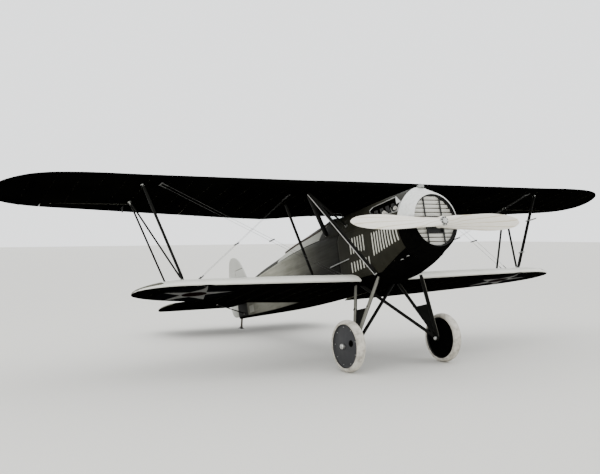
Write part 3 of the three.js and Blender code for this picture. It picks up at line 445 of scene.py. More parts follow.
bars = [block((s * BAR_X - 10, s * BAR_X + 10), (-1256, -1243), (1245, 1935), 2.0) for s in (1, -1)]
for z in HUB_BOX:
    bars.append(block((-BAR_X, BAR_X), (-1254, -1243), (NOSE_Z + z - 8, NOSE_Z + z + 8), 2.0))
bars.append(turned([(360, 0), (386, 0), (386, 22), (360, 22), (360, 0)], (0, -1256, NOSE_Z), "y", 64))
duct = [(-BAR_X, HUB_BOX[0]), (BAR_X, HUB_BOX[0]), (BAR_X, HUB_BOX[1]), (-BAR_X, HUB_BOX[1])]
for (xa, za), (xb, zb) in zip(duct, duct[1:] + duct[:1]):
    low, high = sorted((xa, xb)), sorted((NOSE_Z + za, NOSE_Z + zb))
    bars.append(block((low[0] - 3, low[1] + 3), (-1250, -1223), (high[0] - 3, high[1] + 3), 1.0))
bars.append(block((-BAR_X, BAR_X), (-1228, -1224), (NOSE_Z + HUB_BOX[0], NOSE_Z + HUB_BOX[1]), 1.0))
put(join(*bars), "shutter_bars", [black_iron_and_shade], "airframe", "engine_iron")


# The propeller is two broad blades of laminated pale wood under clear varnish.
# It turns on a steel hub: a front plate held by eight bolts round the boss, with a shaft nut.

# radius, chord, thickness and twist in degrees
BLADE = [
    (40, 185, 118, 52), (190, 218, 96, 46), (360, 226, 60, 40), (640, 244, 38, 32), (900, 258, 28, 26),
    (1200, 222, 19, 20), (1400, 152, 13, 17), (1480, 84, 9, 16), (1515, 20, 5, 16),
]


def bands(tree, direction, scale, distortion=0.0, **more):
    """The value of soft bands that follow each other in a direction of the level airframe."""
    settings = {"wave_type": "BANDS", "bands_direction": direction, "Scale": scale, "Distortion": distortion}
    return add(tree, "ShaderNodeTexWave", {**settings, **more}, {"Vector": level_place(tree)}).outputs["Fac"]


varnished, tree = finish("varnished_pale_laminated_wood")
along = level_place(tree, (0.7, 9.0, 9.0))
grain = add(tree, "ShaderNodeTexNoise", {"Scale": 9.0, "Detail": 6.0, "Distortion": 0.6}, {"Vector": along})
layers = bands(tree, "Y", 11.0, 0.6, Detail=2.0)
wood = ramp(tree, grain.outputs["Fac"], [(0.25, "#dcd6c8"), (0.75, "#ece8de")])
glue = ramp(tree, layers, [(0.02, "#e2dccd"), (0.12, "#ffffff")])
tone = add(tree, "ShaderNodeVectorMath", {"operation": "MULTIPLY"}, {0: wood, 1: glue})
shade(
    tree,
    {"Roughness": 0.34, "Coat Weight": 0.35, "Coat Roughness": 0.2},
    {"Base Color": tone.outputs["Vector"], "Normal": bumps(tree, grain.outputs["Fac"], 0.08, 0.001)},
)


def blade_place(row, turn):
    """A point of the blade's section: a rounded leading edge, a flat driving face and a cambered front."""
    r, chord, thick, twist = row
    a = 2 * math.pi * turn
    across = math.cos(a) * chord / 2
    hump = 1.0 if r < 300 else 1.18 - 0.36 * (0.5 + 0.5 * math.cos(a))
    deep = math.sin(a) * thick / 2 * (hump if math.sin(a) < 0 else 0.8 * hump)
    t = math.radians(twist)
    y = deep * math.cos(t) - across * math.sin(t)
    return Vector((r, y, deep * math.sin(t) + across * math.cos(t)))


SHAFT_Z = 1535.0
PROP_AT = Vector((0, -1385, SHAFT_Z))
ROOT, TIP = BLADE[0][0], BLADE[-1][0]
spans = [ROOT + (TIP - ROOT) * (1 - (1 - k / 44) ** 1.5) for k in range(45)]
for name, spin in (("first", 0.0), ("second", math.pi)):
    bm = loft([smooth_row(BLADE, r) for r in spans], blade_place, 40)
    about = Matrix.Translation(PROP_AT) @ Matrix.Rotation(spin, 4, "Y")
    bmesh.ops.transform(bm, matrix=about, verts=bm.verts)
    put(bm, f"propeller_blade_{name}", [varnished], "propeller", "propeller_wood", ["propeller"])
boss = turned([(0, -62), (68, -62), (76, -54), (79, -40), (79, 44), (76, 56), (68, 61), (0, 61)], PROP_AT)
put(boss, "propeller_boss", [varnished], "propeller", "propeller_wood")

hub_steel = mottled(
    "machined_steel_with_oil_film", (50.0, 4.0), [(0.3, "#a4a4a0"), (0.7, "#c3c3bf")],
    {"Roughness": 0.36, "Metallic": 0.85}, (0.1, 0.0005),
)

hub = [turned([(0, -82), (62, -82), (67, -78), (68, -70), (68, -62.5), (0, -62.5)], PROP_AT)]
hub.append(turned([(0, -100), (34, -100), (40, -97), (42, -82), (0, -82)], PROP_AT, "y", 24))
put(join(*hub), "propeller_hub_plate", [hub_steel], "propeller", "steel_hub", ["propeller_hub"])
BOLTS, BOLT_R = 8, 52
bolts = []
for k in range(BOLTS):
    a = 2 * math.pi * (k + 0.5) / BOLTS
    at = PROP_AT + Vector((BOLT_R * math.cos(a), 0, BOLT_R * math.sin(a)))
    bolts.append(turned([(0, -94), (8, -94), (10, -91), (10, -82), (0, -82)], at, "y", 6))
put(join(*bolts), "propeller_hub_bolts", [black_iron_and_shade], "propeller", "steel_hub")


# The engine is an upright pair of leaning cylinder banks on a black crankcase.
# Short welded steel pipes carry the exhaust from each pair of ports up into the open bays.
def repaint(name, material):
    """Gives a solid that is carried over from the CAD its finish."""
    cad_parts[name].data.materials.clear()
    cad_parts[name].data.materials.append(material)


repaint("engine", black_iron_and_shade)

burnt_steel = mottled(
    "heat_stained_steel_pipe", (26.0, 4.0), [(0.35, "#cfcbc3"), (0.7, "#e9e6df")],
    {"Roughness": 0.5, "Metallic": 0.4}, (0.3, 0.001),
)


def tube(a, b, radius, bore=0.0, steps=20):
    """A round tube between two points; with a bore it is open at its far end."""
    a, b = Vector(a), Vector(b)
    long = (b - a).length
    profile = [(0, 0), (radius, 0), (radius, long), (0, long)]
    if bore:
        profile = [(0, 0), (radius, 0), (radius, long), (bore, long), (bore, long * 0.3), (0, long * 0.3)]
    bm = turned(profile, (0, 0, 0), "z", steps)
    facing = (b - a).to_track_quat("Z", "Y").to_matrix().to_4x4()
    bmesh.ops.transform(bm, matrix=Matrix.Translation(a) @ facing, verts=bm.verts)
    return bm


# the first and third pipe of each bank show in the bay, the others end short
PIPES, PIPE_Y, PIPE_PITCH, PORT_X, PORT_Z = 6, -850, 140, 240, 1800
pipes = []
for side in (1, -1):
    for k in range(PIPES):
        y = PIPE_Y + PIPE_PITCH * k
        out, rise = (138, 66) if k in (0, 2) else (40, 20)
        pipes.append(tube((side * PORT_X, y, PORT_Z), (side * (PORT_X + out), y - 30, PORT_Z + rise), 29, 24))
        pipes.append(block((side * 215 - 30, side * 215 + 30), (y - 36, y + 36), (1838, 1856), 4))
put(join(*pipes), "exhaust_pipes", [burnt_steel], "airframe", "engine_iron")


# The engine cowl is four aluminium panels on hinges: an olive top and sides and a black belly.
# Both sides are pressed with rows of louvres that open aft, drawn pale as painted highlight.
# The top has an open bay over each bank, edged with a rolled wire, and turn-buttons hold the panels along the
# bottom.
SIDES = ((1, "left"), (-1, "right"))
COWL_ENDS = (-999, 640)


def port_line(height_of):
    """The port turn of a line drawn along the fuselage at the height that a function gives."""
    return lambda y: turn_at(y, height_of(y))


def belly_height(y):
    """The edge of the belly, 34 mm above the lowest line of the skin."""
    row = smooth_row(HULL, y)
    return row[2] - row[5] + 34


def deck_height(y):
    """The edge between side and deck, over the widest line."""
    row = smooth_row(HULL, y)
    return row[2] + 0.28 * row[3]


def across(line):
    """The same line on the starboard side."""
    return lambda y: 0.5 - line(y)


def sheet(y0, y1, low, high, rows, columns, out=0.0):
    """A sheet on the fuselage skin between two places and two lines, facing outwards."""
    bm = bmesh.new()
    bmesh.ops.create_grid(bm, x_segments=rows, y_segments=columns, size=0.5)
    for v in bm.verts:
        y = y0 + (v.co.x + 0.5) * (y1 - y0)
        bottom, top = low(y), high(y)
        v.co = hull_point(y, bottom + (v.co.y + 0.5) * (top - bottom), -out)
    face = max(bm.faces, key=lambda f: f.calc_area())
    middle = face.calc_center_median()
    if face.normal.dot(middle - Vector((0, middle.y, 1600))) < 0:
        bmesh.ops.reverse_faces(bm, faces=bm.faces)
    bm.normal_update()
    return bm


def other_side(bm):
    """The same part mirrored to starboard."""
    bmesh.ops.transform(bm, matrix=Matrix.Diagonal((-1, 1, 1, 1)), verts=bm.verts)
    bmesh.ops.reverse_faces(bm, faces=bm.faces)
    return bm


def on_side(bm, side):
    """A part drawn to port, or mirrored where the side is starboard."""
    return bm if side > 0 else other_side(bm)


def stiffen(bm, thick):
    """Gives a thin drawn plate its thickness, in millimetres."""
    bmesh.ops.solidify(bm, geom=bm.faces, thickness=thick)
    bmesh.ops.recalc_face_normals(bm, faces=bm.faces)
    return bm


def cut_plate(points, thick):
    """A flat plate cut along straight edges."""
    bm = bmesh.new()
    bmesh.ops.contextual_create(bm, geom=[bm.verts.new(p) for p in points])
    return stiffen(bm, thick)


def sliced(bm, at, square, **more):
    """Cuts a mesh along the plane through a point that is square to a direction."""
    cut = bm.verts[:] + bm.edges[:] + bm.faces[:]
    return bmesh.ops.bisect_plane(bm, geom=cut, plane_co=at, plane_no=square, dist=0.001, **more)


def thicken(piece, thick):
    """Gives a sheet piece its wall, inwards, in metres."""
    wall = piece.modifiers.new("wall", "SOLIDIFY")
    wall.thickness = thick
    wall.offset = -1.0
    wall.use_even_offset = True
    return piece


def enamel(name, low, high, rough, gloss, streak=0.35):
    """Brushed enamel on aluminium sheet: two close tints in clouds, faint rain streaks down the side."""
    material, tree = finish(name)
    clouds = noise(tree, 2.6, 5.0)
    rain = noise(tree, 9.0, 4.0, level_place(tree, (1, 2.4, 0.18)))
    mix = add(tree, "ShaderNodeMath", {"operation": "MULTIPLY_ADD", 1: streak}, {0: rain, 2: clouds})
    tone = ramp(tree, mix.outputs["Value"], [(0.42, low), (0.95, high)])
    dents = noise(tree, 5.5, 2.0)
    shade(
        tree,
        {"Roughness": rough, "Specular IOR Level": gloss},
        {"Base Color": tone, "Normal": bumps(tree, dents, 0.35, 0.006)},
    )
    return material


olive_enamel = enamel("olive_drab_enamel_on_aluminium", "#17160f", "#28271f", 0.65, 0.08)
dark_enamel_and_shade = enamel("black_green_enamel_and_painted_shade", "#030303", "#070706", 0.9, 0.0)

# the side panels end above the belly on a slant that levels off, and meet the top at the shoulder
SPLIT = port_line(lambda y: max(1020.0, 1251 - 0.369 * (y + 990)))
SHOULDER = port_line(lambda y: 1780.0)
top = sheet(*COWL_ENDS, SHOULDER, across(SHOULDER), 60, 72)
BAY = [(-982, 1790), (-330, 1842), (-125, 1955), (-25, 2034), (-70, 2085), (-640, 2096), (-982, 1930)]
BAY_MIDDLE = Vector((0, -460, 1990))
for (ya, za), (yb, zb) in zip(BAY, BAY[1:] + BAY[:1]):
    sliced(top, (0, ya, za), Vector((0, zb - za, ya - yb)).normalized())


def in_bay(point):
    """Whether a point lies within the bay's outline, seen from the side."""
    inside = True
    for (ya, za), (yb, zb) in zip(BAY, BAY[1:] + BAY[:1]):
        square = Vector((0, zb - za, ya - yb))
        edge = Vector((0, ya, za))
        inside = inside and square.dot(point - edge) * square.dot(BAY_MIDDLE - edge) > 0
    return inside


gone = [f for f in top.faces if in_bay(f.calc_center_median())]
bmesh.ops.delete(top, geom=gone, context="FACES")
thicken(put(top, "cowl_top_sheet", [olive_enamel], "airframe", "paint_light", ["cowl_top"]), 0.004)


def hull_side(y, z, out=0.0):
    """The point of the port skin at a place and a height."""
    return hull_point(y, turn_at(y, z), -out)


def wire(points, radius, around=8, closed=False):
    """A thin round wire bent through points."""
    points = [Vector(p) for p in points]
    ends = [2 * points[0] - points[1], *points, 2 * points[-1] - points[-2]]
    if closed:
        ends = [points[-1], *points, points[0]]
    frames = []
    for before, here, after in zip(ends, ends[1:], ends[2:]):
        ahead = (after - before).normalized()
        up = Vector((0, 0, 1)) if abs(ahead.z) < 0.9 else Vector((0, 1, 0))
        side = ahead.cross(up).normalized()
        frames.append((here, side, ahead.cross(side)))

    def round_place(row, turn):
        a = 2 * math.pi * turn
        return row[0] + radius * (math.cos(a) * row[1] + math.sin(a) * row[2])

    bm = loft(frames, round_place, around, caps=not closed)
    if closed:
        bridge(bm)
    return bm


def along_edges(corners, step):
    """Points every step or so along a closed outline."""
    points = []
    for (ya, za), (yb, zb) in zip(corners, corners[1:] + corners[:1]):
        count = max(1, round(math.hypot(yb - ya, zb - za) / step))
        points += [(ya + (yb - ya) * k / count, za + (zb - za) * k / count) for k in range(count)]
    return points


rims = []
for side in (1, -1):
    edge = wire([hull_side(y, z, 1.0) for y, z in along_edges(BAY, 60)], 7.0, 8, closed=True)
    rims.append(on_side(edge, side))
    corners = ((-986, 1930), (-640, 2100), (-690, 2062), (-885, 1918))
    gusset = cut_plate([hull_side(y, z, 5.0) for y, z in corners], 4)
    rims.append(on_side(gusset, side))
put(join(*rims), "bay_rims", [hub_steel], "airframe", "aluminium_plain")

under = sheet(*COWL_ENDS, lambda y: -0.5 - SPLIT(y), SPLIT, 50, 64)
thicken(put(under, "cowl_bottom_sheet", [dark_enamel_and_shade], "airframe", "paint_dark", ["cowl_bottom"]), 0.004)

# place of the first louvre, pitch, count, and the lower and upper ends of the first and the last
LOUVRES = [
    (-966, 70, 10, (1360, 1632), (1258, 1640)),
    (-92, 73, 6, (1391, 1668), (1399, 1676)),
    (-188, 80, 7, (1146, 1302), (1119, 1297)),
]
LOUVRE_WIDE, LOUVRE_OUT = 36.0, 15.0
# the louvres are drawn pale as painted highlight on the olive cowl
louvre_highlight_paint = mottled(
    "olive_enamel_lightened_as_painted_highlight_on_louvres", (18.0, 4.0), [(0.3, "#a9a89d"), (0.7, "#c9c8bd")],
    {"Roughness": 0.38}, (0.2, 0.002),
)


def louvre(y, low, high):
    """One pressed louvre: a long blister with rounded ends, steep and open along its aft edge."""

    def place(row, turn):
        z, swell = row
        a = 2 * math.pi * turn
        across = 0.5 + 0.5 * math.cos(a)
        lift = max(0.0, math.sin(a)) ** 0.8 * LOUVRE_OUT * swell * (0.45 + 0.55 * across)
        base = hull_side(y + across * LOUVRE_WIDE, z)
        outwards = Vector((1, 0, 0)) if z > 1300 else Vector((0.96, 0, -0.28))
        return base + outwards * (lift - 2.5)

    ends = []
    for t in (0.0, 0.02, 0.05, 0.1, 0.16, 0.3, 0.5, 0.7, 0.84, 0.9, 0.95, 0.98, 1.0):
        ends.append((low + (high - low) * t, math.sin(math.pi * min(0.5, 3.2 * min(t, 1 - t) + 0.06))))
    return loft(ends, place, 14)


def louvre_slot_shade(y, low, high):
    """A black strip of painted shade on the skin, where the slot that a louvre leaves open behind it lies."""
    bm = bmesh.new()
    bmesh.ops.create_grid(bm, x_segments=1, y_segments=10, size=0.5)
    for v in bm.verts:
        z = low + 8 + (v.co.y + 0.5) * (high - low - 16)
        v.co = hull_side(y + LOUVRE_WIDE - 3 + (v.co.x + 0.5) * 13, z, 1.2)
    return stiffen(bm, 1.0)


for side, word in SIDES:
    flank = sheet(*COWL_ENDS, SPLIT, SHOULDER, 60, 40)
    pressed, slot_shades = [], []
    for first, pitch, count, start, end in LOUVRES:
        for k in range(count):
            t = k / (count - 1)
            low = start[0] + t * (end[0] - start[0])
            high = start[1] + t * (end[1] - start[1])
            pressed.append(louvre(first + k * pitch - 6, low, high))
            # a black strip of painted shade stands in each louvre's open slot
            slot_shades.append(louvre_slot_shade(first + k * pitch - 6, low, high))
    flank, pressed, slot_shades = (on_side(bm, side) for bm in (flank, join(*pressed), join(*slot_shades)))
    panel = put(flank, f"cowl_{word}_sheet", [olive_enamel], "airframe", "paint_olive", [f"cowl_{word}"])
    thicken(panel, 0.004)
    put(pressed, f"louvres_{word}", [louvre_highlight_paint], "airframe", "paint_olive")
    put(slot_shades, f"louvre_slot_shades_{word}", [black_iron_and_shade], "airframe", "engine_iron")

fasteners, clips = [], []
for side in (1, -1):
    for y in (-700, -470, -240, 0, 240, 480):
        for z in (1128 if y < -300 else 1052, 1752):
            at = hull_side(y, z, 2.0)
            at.x *= side
            fasteners.append(turned([(0, -3), (11, -3), (11, 2), (6, 4), (0, 4)], at, "x", 16))
    for y, z in ((-820, 1118), (-935, 1146)):
        at = hull_side(y, z, 2.0)
        at.x *= side
        clips.append(block((at.x - 9, at.x + 9), (y - 32, y + 32), (z - 5, z + 5), 2.0))
put(join(*clips), "cowl_clips", [hub_steel], "airframe", "aluminium_plain")
put(join(*fasteners), "cowl_fasteners", [olive_enamel], "airframe", "aluminium_plain")


# Behind the engine the fuselage is a welded tube frame under doped linen, with thin sheet decks.
# The linen shows its stringers and the weave under the paint, and its seams are covered with
# frayed tape. A fairing board closes the belly, and a pipe runs along the lower starboard side.
def doped_linen(name, low, high):
    """Olive dope on linen: clouds, streaks, a weave, soft lines over the frame, soot and painted shade in
    front, painted shadow below.
    """
    material, tree = finish(name)
    clouds = noise(tree, 1.9, 5.0)
    brushed = noise(tree, 4.0, 5.0, level_place(tree, (1, 0.5, 7)))
    mix = add(
        tree,
        "ShaderNodeMath",
        {"operation": "MULTIPLY_ADD", 1: 0.8},
        {0: brushed, 2: clouds},
    )
    fresh = ramp(tree, mix.outputs["Value"], [(0.62, low), (1.18, high)])
    # the shares run from 0.64 m behind the axle, where soot and painted shade are darkest, to the sternpost
    # at 5.43 m
    share = share_of(tree, level_axis(tree, "Y"), 0.64, 5.43)
    soot_and_shade_stops = [(0.0, "#3f3f3f"), (0.12, "#606060"), (0.26, "#9a9a9a"), (0.38, "#c8c8c8"), (0.55, "#ffffff")]
    soot_and_painted_shade = ramp(tree, share, soot_and_shade_stops)
    height = level_axis(tree, "Z")
    # a painted shadow of the stabiliser makes the stern near black below it, 1.317 m up
    tail_shadow_ramp = ramp(tree, share, [(0.865, "#ffffff"), (0.88, "#050505")])
    above = share_of(tree, height, 1.305, 1.315)
    tail_shadow = add(tree, "ShaderNodeMixRGB", {"Color2": linear("#ffffff")}, {"Fac": above, "Color1": tail_shadow_ramp})
    # the side is darker low down, below 1.45 m, as the lower wing's painted shadow
    low_painted_shadow = ramp(tree, share_of(tree, height, 1.25, 1.45), [(0.0, "#b4b4b4"), (1.0, "#ffffff")])
    tone = fresh
    for darkening in (soot_and_painted_shade, low_painted_shadow, tail_shadow.outputs["Color"]):
        darker = add(tree, "ShaderNodeVectorMath", {"operation": "MULTIPLY"}, {0: tone, 1: darkening})
        tone = darker.outputs["Vector"]
    # the real thread spacing is 0.7 mm: it is drawn at 5 mm so that it shows
    warp, weft = bands(tree, "Z", 31.0, 1.0), bands(tree, "Y", 31.0, 1.0)
    cloth = add(tree, "ShaderNodeMath", {"operation": "ADD"}, {0: warp, 1: weft}).outputs["Value"]
    # bands along Z at 1.9 come about 165 mm apart, like the stringers
    taut = bumps(tree, bands(tree, "Z", 1.9), 0.35, 0.008, bumps(tree, cloth, 0.12, 0.0006))
    shade(tree, {"Roughness": 0.6, "Specular IOR Level": 0.04}, {"Base Color": tone, "Normal": taut})
    return material


TAIL_END = 5429
REAR_ENDS = (641, TAIL_END)
side_linen = doped_linen("olive_doped_linen_over_stringers", "#727164", "#8f8e82")
belly_paint = enamel("black_green_belly_board_enamel", "#030303", "#080706", 0.9, 0.0)
BELLY, DECK = port_line(belly_height), port_line(deck_height)
for side, word in SIDES:
    flank = on_side(sheet(*REAR_ENDS, BELLY, DECK, 120, 16), side)
    nodes = [f"fuselage_side_{word}"]
    thicken(put(flank, f"fuselage_{word}_linen", [side_linen], "airframe", "fabric_olive", nodes), 0.003)
under = sheet(*REAR_ENDS, lambda y: -0.5 - BELLY(y), BELLY, 100, 24)
# the belly board is drawn near black
thicken(put(under, "belly_board", [belly_paint], "airframe", "paint_dark", ["fuselage_belly"]), 0.004)

tape_linen = doped_linen("olive_doped_tape", "#1f1e19", "#2e2d27")
tapes = []
# place and width of each tape
TAPES = ((652, 24), (1275, 40), (1820, 14), (2360, 40), (3135, 34), (3750, 14), (4330, 14), (4890, 14))
for y, wide in TAPES:
    for side in (1, -1):
        tape = sheet(y - wide / 2, y + wide / 2, BELLY, DECK, 3, 16, 1.4)
        tapes.append(on_side(stiffen(tape, 1.0), side))


def strip(y0, y1, line, low, high, rows, out):
    """A narrow strip along a line of the skin, between two small turns from it."""
    return sheet(y0, y1, lambda y: line(y) + low, lambda y: line(y) + high, rows, 1, out)


for side in (1, -1):
    for line, low in ((BELLY, 0.0025), (DECK, -0.0075)):
        tape = strip(660, 5400, line, low, low + 0.007, 100, 1.8)
        tapes.append(on_side(stiffen(tape, 1.0), side))
put(join(*tapes), "fuselage_tapes", [tape_linen], "airframe", "fabric_olive")

# place where each deck starts and ends, rows and columns, and the record's slot
DECKS = {
    "front_deck": (641, 1289, 30, 60, "paint_light"),
    "turtledeck": (2961, TAIL_END, 70, 48, "fabric_olive"),
}
for name, (y0, y1, rows, columns, slot) in DECKS.items():
    deck = sheet(y0, y1, DECK, across(DECK), rows, columns)
    thicken(put(deck, f"{name}_sheet", [olive_enamel], "airframe", slot, [name]), 0.004)

pale_enamel = enamel("sun_bleached_aluminium_lacquer", "#74746c", "#8a8a82", 0.6, 0.1)
panel = stiffen(sheet(4430, 4700, port_line(lambda y: 1064.0), port_line(lambda y: 1206.0), 8, 6, 2.0), 2.0)
put(other_side(panel), "skid_access_panel", [pale_enamel], "airframe", "aluminium_plain")
pipe = [hull_side(y, z, 26.0) for y, z in ((900, 1331), (760, 1338), (560, 1349), (373, 1359))]
rail = other_side(wire([hull_side(910, 1330, 4), *pipe, hull_side(363, 1360, 4)], 9.0, 10))
put(rail, "side_pipe", [bare_bead], "airframe", "aluminium_plain")

feet = [hull_side(y, 1010) for y in (2120, 2250)]
STEP_OUT = Vector((70, 0, -30))
arms = [tube(foot, foot + STEP_OUT, 9) for foot in feet]
tread = tube(feet[0] + STEP_OUT, feet[1] + STEP_OUT, 9)
put(join(*arms, tread), "boarding_step", [black_iron_and_shade], "airframe", "steel_tube")


# The cockpit is an oval hole in the deck between two coamings drawn pale as painted sky reflection, with a
# roll of padded leather laced round its edge. Inside are a sheet metal bucket seat with a stuffed cushion, a
# plain panel of round dials, a wooden floor and the control column.

# place along the rim and its half width
RIM = [(1290, 70), (1360, 175), (1510, 240), (2000, 262), (2640, 232), (2870, 150), (2960, 60)]


def rim_half(y):
    """Half the width of the cockpit's hole at a place."""
    return max(0.0, smooth_row(RIM, min(2960.0, max(1290.0, y)))[1])


def rim_line(y):
    """The port turn of the hole's edge at a place."""
    row = smooth_row(HULL, y)
    return math.acos(min(1.0, rim_half(y) / row[1]) ** (row[4] / 2)) / (2 * math.pi)


# the coamings are drawn pale as painted reflection of the sky on the deck
coaming_sky_reflection_enamel = enamel("pale_enamel_as_painted_sky_reflection", "#8c8c84", "#a4a49c", 0.65, 0.06)
dark_strips = []
for side, word in SIDES:
    edge = on_side(sheet(1291, 2959, DECK, rim_line, 60, 16), side)
    # a dark strip runs along the deck's edge beside the hole
    dark_strips.append(on_side(stiffen(strip(1291, 2959, DECK, -0.002, 0.005, 60, 2.4), 1.5), side))
    nodes = [f"cockpit_coaming_{word}"]
    thicken(put(edge, f"coaming_{word}_sheet", [coaming_sky_reflection_enamel], "airframe", "fabric_olive", nodes), 0.004)
put(join(*dark_strips), "coaming_dark_strips", [dark_enamel_and_shade], "airframe", "steel_tube")

leather, tree = finish("dark_brown_oiled_leather")
pores = add(tree, "ShaderNodeTexVoronoi", {"Scale": 160.0}, {"Vector": level_place(tree)})
worn = noise(tree, 12.0, 5.0)
tone = ramp(tree, worn, [(0.3, "#1c1612"), (0.7, "#3a2c22")])
creased = bumps(tree, worn, 0.4, 0.004)
grained = bumps(tree, pores.outputs["Distance"], 0.35, 0.0008, creased)
shade(tree, {"Roughness": 0.5, "Specular IOR Level": 0.4}, {"Base Color": tone, "Normal": grained})

PAD_R, PAD_FRONT, PAD_LONG, PAD_STEPS = 23.0, 1287, 1676, 60
ring = []
for k in range(PAD_STEPS + 1):
    a = math.pi * k / PAD_STEPS
    y = PAD_FRONT + PAD_LONG * (0.5 - 0.5 * math.cos(a))
    half = rim_half(y) * min(1.0, math.sin(a) * 3.0) + 2.0
    row = smooth_row(HULL, y)
    z = row[2] + row[3] * (1 - min(1.0, half / row[1]) ** row[4]) ** (1 / row[4])
    ring.append(Vector((half, y, z + PAD_R * 0.5)))
ring = ring + [Vector((-p.x, p.y, p.z)) for p in reversed(ring)]
lengths = [0.0]
for a, b in zip(ring, ring[1:]):
    lengths.append(lengths[-1] + (b - a).length)


def roll_place(row, turn):
    """The leather roll, drawn in a little at each lacing hole 70 mm apart."""
    here, side, up, run = row
    a = 2 * math.pi * turn
    pinch = 1.0 - 0.10 * max(0.0, math.cos(2 * math.pi * run / 70.0)) ** 6
    return here + PAD_R * pinch * (math.cos(a) * side + 0.94 * math.sin(a) * up)


frames = []
dense = []
for k in range(len(ring) - 1):
    for j in range(4):
        dense.append((ring[k].lerp(ring[k + 1], j / 4), lengths[k] + (lengths[k + 1] - lengths[k]) * j / 4))
for k, (here, run) in enumerate(dense):
    ahead = (dense[(k + 1) % len(dense)][0] - dense[k - 1][0]).normalized()
    side = ahead.cross(Vector((0, 0, 1))).normalized()
    frames.append((here, side, side.cross(ahead).normalized(), run))
bm = loft(frames, roll_place, 18, caps=False)
bridge(bm)
padding = put(bm, "cockpit_roll", [leather], "airframe", "leather_dark", ["cockpit_padding"])

SEAT_HALF, SEAT_PAN, PAD_Y = 190, 1346.6, 2448
BACK_HALF, BACK_DEEP, BACK_Y, BACK_FOOT, BACK_TOP = 198, 200, 2470, 1345, 1745


def stuffed(bm, name, materials, slot, nodes, cap):
    """A stuffed cover, blown up as cloth from its sewn form, each point moving the cap at most."""
    piece = put(bm, name, materials, "airframe", slot, nodes, sharp=180)
    remesh = piece.modifiers.new("fine", "REMESH")
    remesh.mode = "VOXEL"
    remesh.voxel_size = 0.0055
    bpy.context.view_layer.objects.active = piece
    bpy.ops.object.select_all(action="DESELECT")
    piece.select_set(True)
    bpy.ops.object.modifier_apply(modifier="fine")
    before = [v.co.copy() for v in piece.data.vertices]
    cloth = piece.modifiers.new("cloth", "CLOTH")
    cloth.settings.use_pressure = True
    cloth.settings.uniform_pressure_force = 4.0
    cloth.settings.effector_weights.gravity = 0.0
    for step_number in range(1, 21):
        scene.frame_set(step_number)
    bpy.ops.object.modifier_apply(modifier="cloth")
    scene.frame_set(1)
    for v, rest in zip(piece.data.vertices, before):
        moved = v.co - rest
        if moved.length > cap:
            v.co = rest + moved.normalized() * cap
    piece.data.polygons.foreach_set("use_smooth", [True] * len(piece.data.polygons))
    return piece


cushion = bmesh.new()
bmesh.ops.create_cube(cushion, size=1)
bmesh.ops.subdivide_edges(cushion, edges=cushion.edges[:], cuts=7, use_grid_fill=True)
for v in cushion.verts:
    u, w, h = v.co.x * 2, v.co.y * 2, v.co.z * 2
    draw = 1 - 0.05 * (1 - min(1.0, abs(u)) ** 6 * min(1.0, abs(w)) ** 6) * (abs(u) > 0.99 or abs(w) > 0.99)
    crown = 12 * (1 - u * u) * (1 - w * w) if h > 0 else 0
    v.co = Vector((u * (SEAT_HALF - 12) * draw, PAD_Y + w * 182 * draw, SEAT_PAN + 27 + h * 22 + crown))
stuffed(cushion, "seat_cushion_leather", [leather], "leather_dark", ["seat_cushion"], 0.006)

seat_sheet = enamel("grey_lacquered_seat_sheet", "#8b8c88", "#a3a49f", 0.5, 0.4)
pan = block((-206, 206), (2252, 2678), (1331, 1345), 5)
back = bmesh.new()
bmesh.ops.create_grid(back, x_segments=24, y_segments=12, size=0.5)
for v in back.verts:
    swing = v.co.x * math.pi * 0.92
    top_edge = BACK_TOP - 150 * abs(math.sin(swing)) ** 4
    high = BACK_FOOT + (v.co.y + 0.5) * (top_edge - BACK_FOOT)
    v.co = Vector((BACK_HALF * math.sin(swing), BACK_Y + BACK_DEEP * math.cos(swing), high))
stiffen(back, 5)
legs = [tube((s * 160, y, 1055), (s * 160, y, 1333), 10) for s in (1, -1) for y in (2330, 2640)]
put(join(pan, back, *legs), "bucket_seat", [seat_sheet], "airframe", "aluminium_plain", ["seat"])

STICK_AT = (0, 2060, 1054)
STICK = [(0, 0.5), (38, 0.5), (38, 10), (24, 40), (24, 52), (13, 60), (12, 550), (0, 552)]
GRIP = [(0, 548), (17, 552), (20, 570), (16, 600), (19, 630), (17, 660), (9, 670), (0, 671)]
column, grip = (turned(profile, STICK_AT, "z", 32) for profile in (STICK, GRIP))
put(column, "stick_tube", [black_iron_and_shade], "airframe", "steel_tube", ["control_column"])
put(grip, "stick_grip", [leather], "airframe", "leather_dark")

dial_face, tree = finish("matt_black_dial_with_pale_ring")
flecks = add(tree, "ShaderNodeTexNoise", {"Scale": 120.0}, {"Vector": level_place(tree)})
tone = ramp(tree, flecks.outputs["Fac"], [(0.3, "#0c0c0d"), (0.7, "#161617")])
shade(tree, {"Roughness": 0.25, "Coat Weight": 0.6}, {"Base Color": tone})
rings, faces = [], []
DIAL_Y = 1482.5
# across, height and radius of each dial
DIALS = ((-200, 1840, 40), (-200, 1730, 34), (0, 1730, 40), (200, 1840, 40), (200, 1730, 34), (0, 1850, 46))
for x, z, r in DIALS:
    at = (x, DIAL_Y, z)
    rings.append(turned([(r - 6, 0), (r, 0), (r, 10), (r - 6, 12), (r - 6, 0)], at, "y", 32))
    faces.append(turned([(0, 0), (r - 6.3, 0), (r - 6.3, 6), (0, 6)], at, "y", 32))
    rings.append(block((x - 1.5, x + 1.5), (1489, 1490), (z - 6, z + r - 12), 0.3))
put(join(*rings), "dial_rings", [bare_bead], "airframe", "aluminium_plain")
put(join(*faces), "dial_faces", [dial_face], "airframe", "leather_dark")

